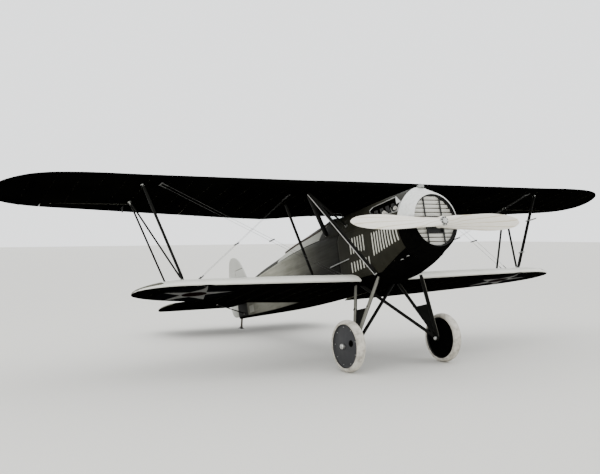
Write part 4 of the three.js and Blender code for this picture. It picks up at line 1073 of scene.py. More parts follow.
boards, tree = finish("oiled_spruce_boards")
place = level_place(tree, (7.0, 0.6, 7.0))
grain = noise(tree, 8.0, 6.0, place)
tone = ramp(tree, grain, [(0.3, "#8a6f4c"), (0.7, "#b0946a")])
shade(tree, {"Roughness": 0.6}, {"Base Color": tone, "Normal": bumps(tree, grain, 0.2, 0.001)})
for name, material in (
    ("cockpit_floor", boards),
    ("rear_bulkhead", boards),
    ("firewall", seat_sheet),
    ("instrument_panel", dark_enamel_and_shade),
):
    repaint(name, material)


# A single sheet of glass in a black tube frame stands ahead of the cockpit.
# Behind it a sighting tube lies fore and aft on the middle line, on two short posts.
clear_glass, tree = finish("clear_safety_glass")
shade(tree, {"Base Color": linear("#e8efee"), "Roughness": 0.04, "Transmission Weight": 1.0, "IOR": 1.45})
glass = bmesh.new()
bmesh.ops.create_grid(glass, x_segments=10, y_segments=8, size=0.5)
# half width at the foot and at the head, place of the foot and how far the head lies aft, both heights
FOOT_HALF, HEAD_HALF, PANE_Y, RAKE, PANE_LOW, PANE_HIGH = 196, 108, 1213, 55, 2110, 2316
for v in glass.verts:
    t = v.co.y + 0.5
    half = FOOT_HALF + t * (HEAD_HALF - FOOT_HALF)
    v.co = Vector((v.co.x * 2 * half, PANE_Y + t * RAKE, PANE_LOW + t * (PANE_HIGH - PANE_LOW)))
stiffen(glass, 4)
put(glass, "windscreen_pane", [clear_glass], "airframe", "windscreen_glass", ["windscreen"])
corners = [(-158, 1213, 2106), (-108, 1269, 2319), (108, 1269, 2319), (158, 1213, 2106)]
frame_bars = []
for a, b in zip(corners, corners[1:]):
    frame_bars.append(wire([Vector(a), Vector(a).lerp(Vector(b), 0.5), Vector(b)], 7.0, 10))
for side in (1, -1):
    frame_bars.append(tube((side * 158, 1213, 2106), (side * 176, 1200, 2040), 8))
put(join(*frame_bars), "windscreen_frame", [black_iron_and_shade], "airframe", "aluminium_plain")
sight = tube((0, 1640, 2192), (0, 2420, 2104), 13, 9)
rests = [tube((0, y, z - 120), (0, y, z - 6), 6) for y, z in ((1700, 2185), (2330, 2114))]
put(join(sight, *rests), "sighting_tube", [black_iron_and_shade], "airframe", "steel_tube")


# The wings are wooden frames under doped linen, with a tape over each rib and rounded tips.
# The top is olive with a pale strip of painted sheen along the lower wing's nose; the underside and the upper
# wing's forward faces are near black as painted shade.
# The upper wing is one piece and carries the two narrow ailerons on three hinges each.
def wing_paint(name, low, high, rough, gloss):
    """Dope on wing linen: clouds of two close tints, soft sag between the ribs and a fine weave."""
    material, tree = finish(name)
    clouds = noise(tree, 1.3, 6.0)
    tone = ramp(tree, clouds, [(0.32, low), (0.68, high)])
    # bands along X at 1.028 come 305 mm apart, like the ribs
    sag = bands(tree, "X", 1.028, **{"Phase Offset": math.pi})
    weave = noise(tree, 210.0, 2.0)
    taut = bumps(tree, sag, 0.5, 0.008, bumps(tree, weave, 0.15, 0.0006))
    shade(tree, {"Roughness": rough, "Specular IOR Level": gloss}, {"Base Color": tone, "Normal": taut})
    return material


wing_top = wing_paint("olive_dope_on_wing_linen", "#4a493e", "#5e5d50", 0.55, 0.3)
# near-black dope as painted shade on undersides and on the upper wing's forward faces
wing_underside_shade = wing_paint("dope_darkened_as_painted_shade_on_wing_underside", "#020202", "#050504", 0.95, 0.0)
# pale dope as painted sheen, the sky's reflection on the lower wing's glossy nose
wing_nose_sheen = wing_paint("pale_dope_as_painted_sheen_on_wing_nose", "#d2d1c7", "#e6e5dc", 0.5, 0.4)

# distance from the middle, leading edge, trailing edge, thickness, height of the underside and its fall aft
UPPER = [
    (0, 0, 1560, 205, 2382, 0.004), (350, 0, 1575, 205, 2382, 0.005), (650, 0, 1640, 207, 2382, 0.006),
    (950, 0, 1735, 208, 2382, 0.007), (1250, 0, 1765, 205, 2382, 0.008), (2742, 0, 1560, 152, 2422, 0.03),
    (3800, 0, 1415, 112, 2452, 0.047), (4400, 0, 1330, 98, 2466, 0.056), (4908, 35, 1257, 84, 2474, 0.0625),
    (5200, 110, 1195, 68, 2476, 0.0625), (5400, 240, 1115, 52, 2477, 0.0625),
    (5540, 400, 1010, 38, 2477, 0.0625), (5610, 550, 905, 28, 2476, 0.0625),
    (5640, 700, 790, 16, 2475, 0.0625),
]
LOWER = [
    (300, 150, 1770, 205, 919.2, 0.006), (1600, 148, 1565, 190, 943.9, 0.006),
    (2900, 145, 1250, 158, 968.6, 0.006), (3300, 152, 1120, 145, 976.2, 0.006),
    (3560, 200, 985, 115, 981.2, 0.006), (3730, 275, 860, 80, 984.4, 0.006),
    (3840, 380, 730, 46, 986.5, 0.006), (3880, 490, 610, 20, 987.3, 0.006),
]
AILERON, HINGE_Y, ROLL_GAP = (2750.0, 4900.0), 1140.0, 8.0


def wing_row(table, x):
    """The wing's measures at a distance from the middle, either side."""
    row = smooth_row(table, abs(x))
    return (x, *row[1:])


def wing_heights(row, u):
    """Place along the chord with the heights of the underside and of the top there."""
    x, le, te, thick, lead, fall = row
    y = le + u * (te - le)
    bottom = lead - fall * y - 42 * u**3 * (te - le) / 1700
    nose = 0.3 * thick * (1 - min(1, u / 0.14)) ** 2
    hump = math.sqrt(u) * (1 - u) / 0.3849
    return y, bottom + nose, bottom + 6 * u + 0.3 * thick * (1 - u) + 0.8 * thick * hump


def wing_point(row, turn, out=0.0):
    """A point round the section: turn is 0 at the rear edge, 0.25 on the top, 0.5 at the nose, 0.75 below."""
    u = 0.5 + 0.5 * math.cos(2 * math.pi * turn)
    y, low, high = wing_heights(row, u)
    if turn in (0.0, 0.5):
        return Vector((row[0], y + (out if u > 0.5 else -out), (low + high) / 2))
    return Vector((row[0], y - out * math.cos(math.pi * u), high + out if turn < 0.5 else low - out))


def hinge_at(x):
    """Height and radius of the aileron's round nose at a distance from the middle."""
    ends = []
    for end in AILERON:
        row = wing_row(UPPER, end)
        _, low, high = wing_heights(row, (HINGE_Y - row[1]) / (row[2] - row[1]))
        ends.append(((low + high) / 2, (high - low) / 2))
    t = (abs(x) - AILERON[0]) / (AILERON[1] - AILERON[0])
    return [a + t * (b - a) for a, b in zip(*ends)]


REAR = 0.05


def upper_place(station, turn):
    """A point of the upper wing; where it carries an aileron its rear ends in a hollow round the hinge."""
    x, state = station
    row = wing_row(UPPER, x)
    height, radius = hinge_at(min(AILERON[1] + 8, max(AILERON[0] - 8, abs(x))))
    edge = HINGE_Y - math.sqrt(2 * radius * ROLL_GAP + ROLL_GAP**2)
    share = min(0.9, (edge - row[1]) / (row[2] - row[1]))
    away = turn if turn <= 0.5 else 1 - turn
    if away < REAR and state == "hollow":
        lean = math.asin(radius / (radius + ROLL_GAP)) * (away / REAR)
        reach = radius + ROLL_GAP
        rise = math.copysign(reach * math.sin(lean), 0.5 - turn)
        return Vector((x, HINGE_Y - reach * math.cos(lean), height + rise))
    if away < REAR:
        u = 1 - (1 - share) * away / REAR
    else:
        u = share * (0.5 + 0.5 * math.cos(math.pi * (away - REAR) / (0.5 - REAR)))
    y, low, high = wing_heights(row, u)
    level = (low + high) / 2 if turn in (0.0, 0.5) else high if turn < 0.5 else low
    return Vector((x, y, level))


NOSE_SHARE, EDGE_SHARE, NOSE_TO = 0.16, 0.02, 3560


def on_nose(face, table):
    """Whether a face lies on the nose's pale painted sheen: a strip along the top, a thin line at the tip and
    below.
    """
    middle = face.calc_center_median()
    row = wing_row(table, middle.x)
    wide = face.normal.z > 0.12 and abs(middle.x) < NOSE_TO
    return (middle.y - row[1]) / (row[2] - row[1]) < (NOSE_SHARE if wide else EDGE_SHARE)


def painted(bm, nose=None):
    """Gives faces that look down, and without a nose table also those that look forward, the second paint,
    near black as painted shade; those on a given wing's nose get the third, pale as painted sheen.
    """
    bm.normal_update()
    for f in bm.faces:
        if nose and on_nose(f, nose):
            f.material_index = 2
        elif f.normal.z < -0.12 or (not nose and f.normal.y < -0.4):
            f.material_index = 1
    return bm


INNER_XS = (0, 175, 350, 500, 650, 800, 950, 1100, 1250, 1500, 1750, 2000, 2250, 2500, 2742)
inner = [(x, "whole") for x in INNER_XS]
hollow = [(2742 + 2166 * k / 12, "hollow") for k in range(13)]
tip = [(4908 + 732 * math.sin(math.pi / 2 * k / 18), "whole") for k in range(19)]
half = inner + hollow + tip
bm = loft([(-x, state) for x, state in reversed(half[1:])] + half, upper_place, 80)
bmesh.ops.remove_doubles(bm, verts=bm.verts, dist=0.05)
bmesh.ops.recalc_face_normals(bm, faces=bm.faces)
LINEN = [wing_top, wing_underside_shade]
put(painted(bm), "upper_wing_linen", LINEN, "airframe", "fabric_olive", ["upper_wing"], sharp=40)

# how far along the hinge line each lug stands
LUGS = (0.06, 0.5, 0.94)
LUG_HALF, PIN_HALF, LUG_GAP = 6, 26, 13


def lug_x(share):
    """The distance from the middle at which a lug of the aileron stands."""
    return AILERON[0] + share * (AILERON[1] - AILERON[0])


def aileron_place(station, turn):
    """A point of the aileron: top and underside from the rear edge to the hinge, then the round nose."""
    x, notched = station
    row = wing_row(UPPER, x)
    height, radius = hinge_at(x)
    share = (HINGE_Y - row[1]) / (row[2] - row[1])
    away = turn if turn <= 0.5 else 1 - turn
    if away > 0.3:
        swing = math.pi / 2 + math.pi / 2 * (away - 0.3) / 0.2
        y = HINGE_Y + radius * math.cos(swing)
        level = height + math.copysign(radius * math.sin(swing), 0.5 - turn)
    else:
        y, low, high = wing_heights(row, 1 - (1 - share) * away / 0.3)
        level = (low + high) / 2 if turn == 0 else high if turn < 0.5 else low
    return Vector((x, max(y, HINGE_Y + 16) if notched else y, level))


HORN_X = 3716
stations = [(AILERON[0], False)]
for share in LUGS:
    x = lug_x(share)
    stations += [(x - LUG_GAP, False), (x - LUG_GAP, True), (x + LUG_GAP, True), (x + LUG_GAP, False)]
    if share < 0.9:
        stations += [(x + (0.44 * (AILERON[1] - AILERON[0])) * k / 5, False) for k in range(1, 5)]
stations.append((AILERON[1], False))
for side, word in SIDES:
    bm = loft(stations, aileron_place, 60)
    bmesh.ops.remove_doubles(bm, verts=bm.verts, dist=0.05)
    bm = on_side(bm, side)
    bmesh.ops.recalc_face_normals(bm, faces=bm.faces)
    nodes = [f"aileron_{word}"]
    put(painted(bm), f"aileron_{word}_linen", LINEN, f"aileron_{word}", "fabric_olive", nodes, sharp=40)
    height, radius = hinge_at(HORN_X)
    outline = [(1170, -radius + 4), (1290, -radius + 8), (1255, -radius - 85), (1225, -radius - 85)]
    horn = cut_plate([(side * HORN_X - 4, y, height + z) for y, z in outline], 8)
    put(horn, f"aileron_{word}_horn", [black_iron_and_shade], f"aileron_{word}", "steel_tube")


def hinge_lug(at, along, reach):
    """A lug that reaches forward from the hinge line, its boss, and the pin through both."""
    at, along = Vector(at), Vector(along)
    sides = [(c - LUG_HALF, c + LUG_HALF) for c in at]
    sides[1] = (at.y - reach, at.y)
    ends = [(at - along * half, at + along * half) for half in (LUG_HALF, PIN_HALF)]
    return [block(*sides, 1.0), tube(*ends[0], 8), tube(*ends[1], 5)]


lugs = []
for side in (1, -1):
    for share in LUGS:
        x = side * lug_x(share)
        height, radius = hinge_at(x)
        lugs += hinge_lug((x, HINGE_Y, height), (1, 0, 0), radius + 14)
put(join(*lugs), "aileron_hinge_lugs", [hub_steel], "airframe", "steel_hub")

for side, word in SIDES:
    xs = [300 + 2600 * k / 14 for k in range(15)]
    xs += [2900 + 980 * math.sin(math.pi / 2 * k / 22) for k in range(1, 23)]
    bm = on_side(loft([wing_row(LOWER, x) for x in xs], wing_point, 72), side)
    nodes = [f"lower_wing_{word}"]
    paints = [*LINEN, wing_nose_sheen]
    put(painted(bm, LOWER), f"lower_wing_{word}_linen", paints, "airframe", "fabric_olive", nodes, sharp=40)


def rib_tape(x, table, wide, rear=1.0):
    """Two strips of tape over one rib, on the top and on the underside."""
    strips = []
    for first, last in ((0.5 - 0.5 * rear, 0.49), (0.56, 0.5 + 0.5 * rear)):
        strip = bmesh.new()
        bmesh.ops.create_grid(strip, x_segments=1, y_segments=26, size=0.5)
        for v in strip.verts:
            row = wing_row(table, x + v.co.x * wide)
            v.co = wing_point(row, min(0.99, max(0.01, first + (v.co.y + 0.5) * (last - first))), 0.7)
        bmesh.ops.recalc_face_normals(strip, faces=strip.faces)
        strip.normal_update()
        if sum(f.normal.z for f in strip.faces) * (1 if first < 0.5 else -1) < 0:
            bmesh.ops.reverse_faces(strip, faces=strip.faces)
        bmesh.ops.solidify(strip, geom=strip.faces, thickness=0.5)
        strips.append(strip)
    return join(*strips)


RIB_PITCH = 305
tapes = []
for k in range(-17, 18):
    x = k * RIB_PITCH
    on_aileron = AILERON[0] - 20 < abs(x) < AILERON[1] + 20
    tapes.append(rib_tape(x, UPPER, 26, 0.72 if on_aileron else 1.0))
put(painted(join(*tapes)), "upper_rib_tapes", LINEN, "airframe", "fabric_olive")
tapes = [rib_tape(side * (560 + 300 * k), LOWER, 24) for side in (1, -1) for k in range(11)]
put(painted(join(*tapes), LOWER), "lower_rib_tapes", [*LINEN, wing_nose_sheen], "airframe", "fabric_olive")


# Each lower wing carries a roundel on its underside, painted on the linen:
# a dark disc, a pale star with one point forward and a dark spot in the middle, all three darkened as painted
# shade.
star_paint_in_shade, tree = finish("pale_star_paint_darkened_as_painted_shade")
chalk = noise(tree, 7.0, 5.0)
tone = ramp(tree, chalk, [(0.3, "#3b3b39"), (0.7, "#4c4c4a")])
shade(tree, {"Roughness": 0.7, "Specular IOR Level": 0.2}, {"Base Color": tone})
disc_paint = wing_paint("blue_disc_paint_darkened_as_painted_shade", "#050506", "#09090a", 0.95, 0.0)
spot_paint = wing_paint("red_spot_paint_darkened_as_painted_shade", "#0a0303", "#0f0505", 0.95, 0.0)
ROUNDEL_X, ROUNDEL_Y, ROUNDEL_R = 2930.0, 700.0, 548.0
# share of the radius, corners, how far every other corner is drawn in, depth below the linen, and paint
LAYERS = {
    "disc": (1.0, 64, 1.0, 1.4, disc_paint),
    "star": (0.98, 10, 0.382, 2.0, star_paint_in_shade),
    "spot": (0.33, 32, 1.0, 2.6, spot_paint),
}


def painted_on(outline, depth):
    """A flat outline cut into small squares and laid on the lower wing's underside."""
    bm = bmesh.new()
    bmesh.ops.contextual_create(bm, geom=[bm.verts.new((x, y, 0)) for x, y in outline])
    for axis in (0, 1):
        low, high = min(p[axis] for p in outline), max(p[axis] for p in outline)
        square = Vector((1, 0, 0)) if axis == 0 else Vector((0, 1, 0))
        for k in range(1, 18):
            sliced(bm, square * (low + (high - low) * k / 18), square)
    bmesh.ops.triangulate(bm, faces=bm.faces)
    for v in bm.verts:
        row = wing_row(LOWER, v.co.x)
        u = min(0.985, max(0.0, (v.co.y - row[1]) / (row[2] - row[1])))
        y, low, _ = wing_heights(row, u)
        v.co = Vector((v.co.x, y, low - depth))
    bm.normal_update()
    if sum(f.normal.z for f in bm.faces) > 0:
        bmesh.ops.reverse_faces(bm, faces=bm.faces)
    bmesh.ops.solidify(bm, geom=bm.faces, thickness=0.8)
    return bm


def round_outline(radius, corners, inner=1.0):
    """Corners round the roundel's middle, the first one forward; every other one is drawn in."""
    points = []
    for k in range(corners):
        r = radius * (inner if k % 2 else 1.0)
        a = 2 * math.pi * k / corners
        points.append((ROUNDEL_X + ROUNDEL_R * r * math.sin(a), ROUNDEL_Y - ROUNDEL_R * r * math.cos(a)))
    return points


for side, word in SIDES:
    for layer, (radius, corners, inner_share, depth, paint) in LAYERS.items():
        bm = on_side(painted_on(round_outline(radius, corners, inner_share), depth), side)
        put(bm, f"roundel_{layer}_{word}", [paint], "airframe", "fabric_olive")


# The struts are streamlined steel tubes with forged ends pinned to fittings in the wings and body.
# Each side has an N of interplane struts and a tripod with a rear strut to the wing's centre.
# A clamp and a short air-speed head are strapped to the port front strut.
strut_paint = enamel("dark_green_enamel_on_steel_tube", "#0a0a08", "#131311", 0.6, 0.06)


def faired(a, b, chord, thick, ends=(0.5, 0.5), taper=90.0):
    """A streamlined tube between two points, its chord fore and aft, drawn in near each end."""
    a, b = Vector(a), Vector(b)
    along = (b - a).normalized()
    rear = (Vector((0, 1, 0)) - along * along.y).normalized()
    side = along.cross(rear)
    long = (b - a).length
    rows = []
    for t in (0.0, 0.3 * taper / long, 0.65 * taper / long, taper / long, 0.5):
        for share, end in ((t, ends[0]), (1 - t, ends[1])):
            draw = end + (1 - end) * math.sin(math.pi / 2 * min(1.0, t * long / taper))
            rows.append((share, draw))
    rows = sorted(set(rows))

    def place(row, turn):
        share, draw = row
        angle = 2 * math.pi * turn
        deep = math.sin(angle) * (1 - 0.28 * math.cos(angle)) * thick / 2 * (0.6 + 0.4 * draw)
        return a.lerp(b, share) + rear * (math.cos(angle) * chord / 2 * draw) + side * deep

    return loft(rows, place, 24)


def underside(table, x, y):
    """The height of a wing's underside at a point."""
    row = wing_row(table, x)
    return wing_heights(row, (y - row[1]) / (row[2] - row[1]))[1]


def topside(table, x, y):
    """The height of a wing's top at a point."""
    row = wing_row(table, x)
    return wing_heights(row, (y - row[1]) / (row[2] - row[1]))[2]


def met(a, b, outside):
    """The last point going from a to b that is still outside a surface."""
    a, b = Vector(a), Vector(b)
    near, far = 0.0, 1.0
    for _ in range(30):
        mid = (near + far) / 2
        near, far = (mid, far) if outside(a.lerp(b, mid)) else (near, mid)
    return a.lerp(b, near)


def below_upper(p):
    """Whether a point is below the upper wing."""
    return p.z < underside(UPPER, p.x, p.y)


def above_lower(p):
    """Whether a point is above a lower wing."""
    return p.z > topside(LOWER, p.x, p.y)


def off_hull(p):
    """Whether a point is outside the fuselage, to port."""
    return abs(p.x) > hull_side(p.y, p.z).x


def fitting(at, towards, radius, reach):
    """A forged end: a fork round a cross bolt, pointing along the strut or wire."""
    at, towards = Vector(at), Vector(towards)
    along = (towards - at).normalized()
    rear = (Vector((0, 1, 0)) - along * along.y).normalized()
    side = along.cross(rear)
    cross = at + along * reach * 0.45
    parts = [tube(cross - rear * radius * 1.6, cross + rear * radius * 1.6, radius * 0.55, 0, 12)]
    parts.append(tube(at - along * 4, at + along * reach, radius, 0, 12))
    for end in (-1.75, 1.55):
        near, far = cross + rear * radius * end, cross + rear * radius * (end + 0.2)
        parts.append(tube(near, far, radius * 0.95, 0, 6))
    parts.append(tube(at - along * 6 - side * 0.1, at + along * 3, radius * 2.1, 0, 20))
    return join(*parts)


def strut(top, foot, chord, thick, outside):
    """A strut that ends 6 mm inside the upper wing and what it stands on, with its two visible ends."""
    head, heel = met(foot, top, below_upper), met(top, foot, outside)
    sunk = (head - heel).normalized() * 6
    return faired(head + sunk, heel - sunk, chord, thick), head, heel


# upper end, lower end, chord and thickness
N_STRUTS = [
    ((3742, 246, 2493), (3162, 426, 1060), 74, 30),
    ((3692, 1008, 2431), (3162, 1010, 980), 52, 22),
    ((3692, 1008, 2431), (3162, 426, 1060), 46, 20),
]
CABANE = [
    ((1098, 300, 2415), (415, -262, 1010), 78, 36),
    ((1098, 300, 2415), (330, 491, 1915), 46, 22),
    ((1098, 300, 2415), (330, 1106, 1880), 96, 40),
]
CABANE_REAR = ((1168, 917, 2405), (400, 1450, 1010), 66, 30)
for side, word in SIDES:
    bars, forks, tripod, feet, dark_ends = [], [], [], [], []
    for row in N_STRUTS:
        bar, head, heel = strut(*row, above_lower)
        bars.append(bar)
        forks += [fitting(head, heel, 13, 46), fitting(heel, head, 13, 46)]
    for row in (*CABANE, CABANE_REAR):
        bar, head, heel = strut(*row, off_hull)
        tripod.append(bar)
        feet.append(fitting(heel, head, 12, 40))
        dark_ends.append(fitting(head, heel, 13, 46))
    rear_bar = tripod.pop()
    # a thin bright steel tube along the front cabane strut is a painted highlight of the strut's lit edge
    pipe = [met(CABANE[0][1], CABANE[0][0], below_upper), met(CABANE[0][0], CABANE[0][1], off_hull)]
    highlight_tube = tube(*(p + Vector((30, -6, -15)) for p in pipe), 5.0, 0, 16)
    pieces = {
        f"n_struts_{word}_tubes": (join(*bars), strut_paint, "steel_tube", [f"n_strut_{word}"]),
        f"cabane_{word}_tubes": (join(*tripod), strut_paint, "steel_tube", [f"cabane_tripod_{word}"]),
        f"cabane_rear_{word}_tube": (rear_bar, strut_paint, "steel_tube", [f"cabane_rear_{word}"]),
        f"strut_ends_{word}": (join(*forks, *feet), hub_steel, "steel_tube", []),
        f"cabane_heads_{word}": (join(*dark_ends), strut_paint, "steel_tube", []),
        f"water_pipe_{word}": (highlight_tube, hub_steel, "steel_tube", []),
    }
    for name, (bm, material, slot, nodes) in pieces.items():
        put(on_side(bm, side), name, [material], "airframe", slot, nodes)

clamps = [Vector(N_STRUTS[0][0]).lerp(Vector(N_STRUTS[0][1]), share) for share in (0.36, 0.76)]
head_parts = []
for at in clamps:
    head_parts.append(block((at.x - 24, at.x + 24), (at.y - 54, at.y + 54), (at.z - 12, at.z + 12), 5))
for x, reach in ((0, 190), (22, 150)):
    head_parts.append(tube(clamps[0] + Vector((x, -50, 0)), clamps[0] + Vector((x, -reach, 0)), 9, 5))
put(join(*head_parts), "air_speed_head", [bare_bead], "airframe", "steel_tube")


# The rigging is streamlined steel wire, doubled and kept apart by a small spreader.
# Lift wires run from the wing roots up to the upper wing's struts, landing wires the other way.
# Each wire ends in a turn-barrel, locked at a plate on the spar.
rigging_wire, tree = finish("galvanised_streamline_wire")
dull = noise(tree, 30.0, 2.0)
tone = ramp(tree, dull, [(0.3, "#30302e"), (0.7, "#484846")])
shade(tree, {"Roughness": 0.45, "Metallic": 0.6}, {"Base Color": tone})


def doubled(a, b, chord, thick):
    """A pair of wires side by side with their turn-barrels and spreader."""
    a, b = Vector(a), Vector(b)
    parts = []
    barrel = (b - a).normalized() * 95
    for shift in (Vector((0, -48, 0)), Vector((0, 48, 0))):
        start, end = a + shift, b + shift
        parts.append(faired(start, end, chord, thick, (1.0, 1.0), 20))
        parts.append(tube(start, start + barrel, 7, 0, 10))
        parts.append(tube(end - barrel, end, 7, 0, 10))
    middle = a.lerp(b, 0.59)
    parts.append(tube(middle - Vector((0, 78, 0)), middle + Vector((0, 78, 0)), 10, 0, 12))
    for end in (a, b):
        parts.append(block((end.x - 12, end.x + 12), (end.y - 66, end.y + 66), (end.z - 5, end.z + 5), 2))
    return join(*parts)


for side, word in SIDES:
    parts = (
        ("lift_wires", (500, 430, 1070), (3570, 183, 2477), [f"flying_stays_{word}"]),
        ("landing_wires", (3020, 500, 1060), (1300, 440, 2430), []),
    )
    for name, low, high, nodes in parts:
        pair = doubled(met(low, high, below_upper), met(high, low, above_lower), 6, 3)
        put(on_side(pair, side), f"{name}_{word}", [rigging_wire], "airframe", "steel_tube", nodes)


# Each wheel stands on a welded V of streamlined steel legs with a plate in its angle.
# Half axles slope up from the wheels and cross below the belly, sprung by rubber cord in a casing.
# The wheels are wire wheels under dished sheet covers, with pale rubber tyres and a bright cap.
LEG_TOPS = ((395, -290, 960, 84, 40), (395, 330, 960, 74, 36))
FOOT = Vector((784, 0, 0))
lit_side_paint = enamel("green_enamel_lightened_as_painted_highlight", "#5c5b54", "#7e7d75", 0.8, 0.05)
for side, word in SIDES:
    legs = []
    tops = [Vector(top[:3]) for top in LEG_TOPS]
    for top, (_, _, _, chord, thick) in zip(tops, LEG_TOPS):
        legs.append(faired(top, FOOT, chord, thick, (0.7, 0.75), 110))
    corners = [top.lerp(FOOT, 0.45) for top in tops] + [FOOT + Vector((0, y, 0)) for y in (22, -22)]
    plate = cut_plate([p + Vector((-6, 0, -2.4)) for p in corners], 12)
    inner = Vector((760, side * 17.5, 10))
    across_to = Vector((-330, 330 + side * 17.5, 960))
    half_axle = faired(inner, across_to, 70, 46, (0.8, 0.8), 80)
    stub = [(0, 748), (40, 748), (44, 752), (44, 788), (40, 792), (24, 792), (24, 967), (0, 967)]
    rings = [(top.lerp(FOOT, t), top.lerp(FOOT, t + 0.016)) for top in tops for t in (0.43, 0.93)]
    collars = [tube(*ring, 30, 0, 24) for ring in rings]
    # faces that look outboard get the lighter enamel, a painted highlight of the legs' lit side
    for bm in legs:
        for f in bm.faces:
            f.material_index = 1 if f.normal.x > 0.25 else 0
    bm = join(plate, *legs, half_axle, turned(stub, (0, 0, 0), "x", 32), *collars)
    paints = [strut_paint, lit_side_paint]
    put(on_side(bm, side), f"gear_{word}_legs", paints, "airframe", "steel_tube", [f"gear_{word}"])
    caps = (
        [(0, 967), (34, 967), (34, 990), (40, 994), (40, 1002), (32, 1014), (0, 1018)],
        [(0, 722), (22, 722), (30, 730), (30, 747), (0, 747)],
    )
    cap = join(*(turned(profile, (0, 0, 0), "x", 32) for profile in caps))
    put(on_side(cap, side), f"axle_cap_{word}", [hub_steel], "airframe", "aluminium_plain")

cover_paint = enamel("slate_enamel_on_wheel_cover", "#242426", "#343436", 0.55, 0.2)
pale_rubber, tree = finish("pale_grey_rubber_with_dried_mud")
spread = {"Scale": 9.0, "Detail": 7.0, "Roughness": 0.65}
mud = add(tree, "ShaderNodeTexNoise", spread, {"Vector": level_place(tree)})
tone = ramp(tree, mud.outputs["Fac"], [(0.34, "#8f8a80"), (0.52, "#bdb8ad"), (0.72, "#d2cec4")])
shade(
    tree,
    {"Roughness": 0.85, "Specular IOR Level": 0.2},
    {"Base Color": tone, "Normal": bumps(tree, mud.outputs["Fac"], 0.35, 0.003)},
)

COVER = [
    (24.4, 2), (44, 2), (46, 5), (50, 24), (90, 30), (180, 41), (270, 50), (284, 51), (296, 48), (305.7, 44),
    (305.7, 142), (296, 138), (284, 136), (270, 137), (180, 148), (90, 161), (56, 166), (24.4, 166),
]
RIVETS, RIVET_R = 9, 276
TYRE_MIDDLE, TYRE_HALF, TYRE_DEEP, TREAD_AT, RIM_R = 337, 72, 44, 90, 306.3
tyre_ring = []
for k in range(33):
    a = math.pi + 2 * math.pi * k / 32
    radius = max(RIM_R, TYRE_MIDDLE + TYRE_DEEP * math.cos(a))
    tyre_ring.append((radius, TREAD_AT + TYRE_HALF * math.sin(a) * (1 + 0.02 * math.cos(a))))
for side, word in SIDES:
    covers = turned([*COVER, COVER[0]], (0, 0, 0), "x", 96)
    # faces that look inboard, towards the body, are near black as painted shade
    for f in covers.faces:
        f.material_index = 1 if f.normal.x < 0 else 0
    tyres = turned(tyre_ring, (0, 0, 0), "x", 96)
    # the inner side wall, round the recessed cover, is black as painted shade
    for f in tyres.faces:
        f.material_index = 1 if math.hypot(*f.calc_center_median().yz) < 319 else 0
    rivets = []
    for k in range(RIVETS):
        a = 2 * math.pi * (k + 0.3) / RIVETS
        y, z = RIVET_R * math.cos(a), RIVET_R * math.sin(a)
        rivets.append(tube((134, y, z), (141, y, z), 6, 0, 12))
    # the valve hole is drawn as a near-black disc of painted shade on the cover
    valve = bmesh.new()
    bmesh.ops.create_circle(valve, cap_ends=True, cap_tris=True, segments=32, radius=48)
    for v in valve.verts:
        y, z = v.co.x - 170, v.co.y + 24
        v.co = (171.5 - 0.1225 * math.hypot(y, z), y, z)
    stiffen(valve, 1.0)
    at_hub = Matrix.Translation((800, 0, 0))
    parts = {
        f"wheel_{word}_covers": (covers, [cover_paint, dark_enamel_and_shade], "wheel_disc", [f"wheel_{word}"]),
        f"tyre_{word}_rubber": (tyres, [pale_rubber, black_iron_and_shade], "tyre_pale", [f"tyre_{word}"]),
        f"wheel_{word}_rivets": (join(*rivets), [hub_steel], "steel_hub", []),
        f"wheel_{word}_valve_hole": (valve, [dark_enamel_and_shade], "wheel_disc", []),
    }
    for name, (bm, materials, slot, nodes) in parts.items():
        bmesh.ops.transform(bm, matrix=at_hub, verts=bm.verts)
        put(on_side(bm, side), name, materials, f"wheel_{word}", slot, nodes)


# The tail surfaces are steel tube frames under doped linen with rounded edges, hinged on lugs.
# The fin and the horn-balanced rudder are a light grey, the stabiliser and elevators olive.
# A strut braces the stabiliser from below, and an ash skid with a steel shoe carries the tail.
fin_linen = wing_paint("light_grey_dope_on_tail_linen", "#9f9f98", "#b2b2ab", 0.6, 0.2)


def rounded(outline, steps=6):
    """A closed outline made smooth between its corners."""
    points = []
    count = len(outline)
    for i in range(count):
        p0, p1, p2, p3 = (Vector(outline[(i + k) % count]) for k in (-1, 0, 1, 2))
        sharp = (p2 - p1).angle(p1 - p0) > 0.9, (p3 - p2).angle(p2 - p1) > 0.9
        for k in range(steps):
            t = k / steps
            m1 = (p2 - p1) if sharp[0] else (p2 - p0) / 2
            m2 = (p2 - p1) if sharp[1] else (p3 - p1) / 2
            h = (2 * t**3 - 3 * t**2 + 1) * p1 + (t**3 - 2 * t**2 + t) * m1
            points.append(h + (3 * t**2 - 2 * t**3) * p2 + (t**3 - t**2) * m2)
    return points


def surface_plate(outline, place):
    """A flat surface 40 mm thick with round edges, drawn as an outline and set in place."""
    points = rounded(outline)
    count = len(points)
    area = sum(p.x * q.y - q.x * p.y for p, q in zip(points, points[1:] + points[:1]))
    inwards = []
    for i in range(count):
        ahead = points[(i + 1) % count] - points[i - 1]
        inwards.append(Vector((-ahead.y, ahead.x)).normalized() * math.copysign(1, area))

    def ring_place(row, turn):
        i = round(turn * count) % count
        drawn_in, height = row
        p = points[i] + inwards[i] * drawn_in
        return place(p.x, p.y, height)

    rows = [(34, -20), (14, -18.4), (4, -13.5), (0, -6), (0, 6), (4, 13.5), (14, 18.4), (34, 20)]
    return loft(rows, ring_place, count)


def kept(bm, at, facing):
    """Cuts off what lies ahead of a plane and closes the cut."""
    done = sliced(bm, at, facing, clear_outer=True)
    bmesh.ops.contextual_create(bm, geom=[g for g in done["geom_cut"] if isinstance(g, bmesh.types.BMEdge)])
    bmesh.ops.recalc_face_normals(bm, faces=bm.faces)
    return bm


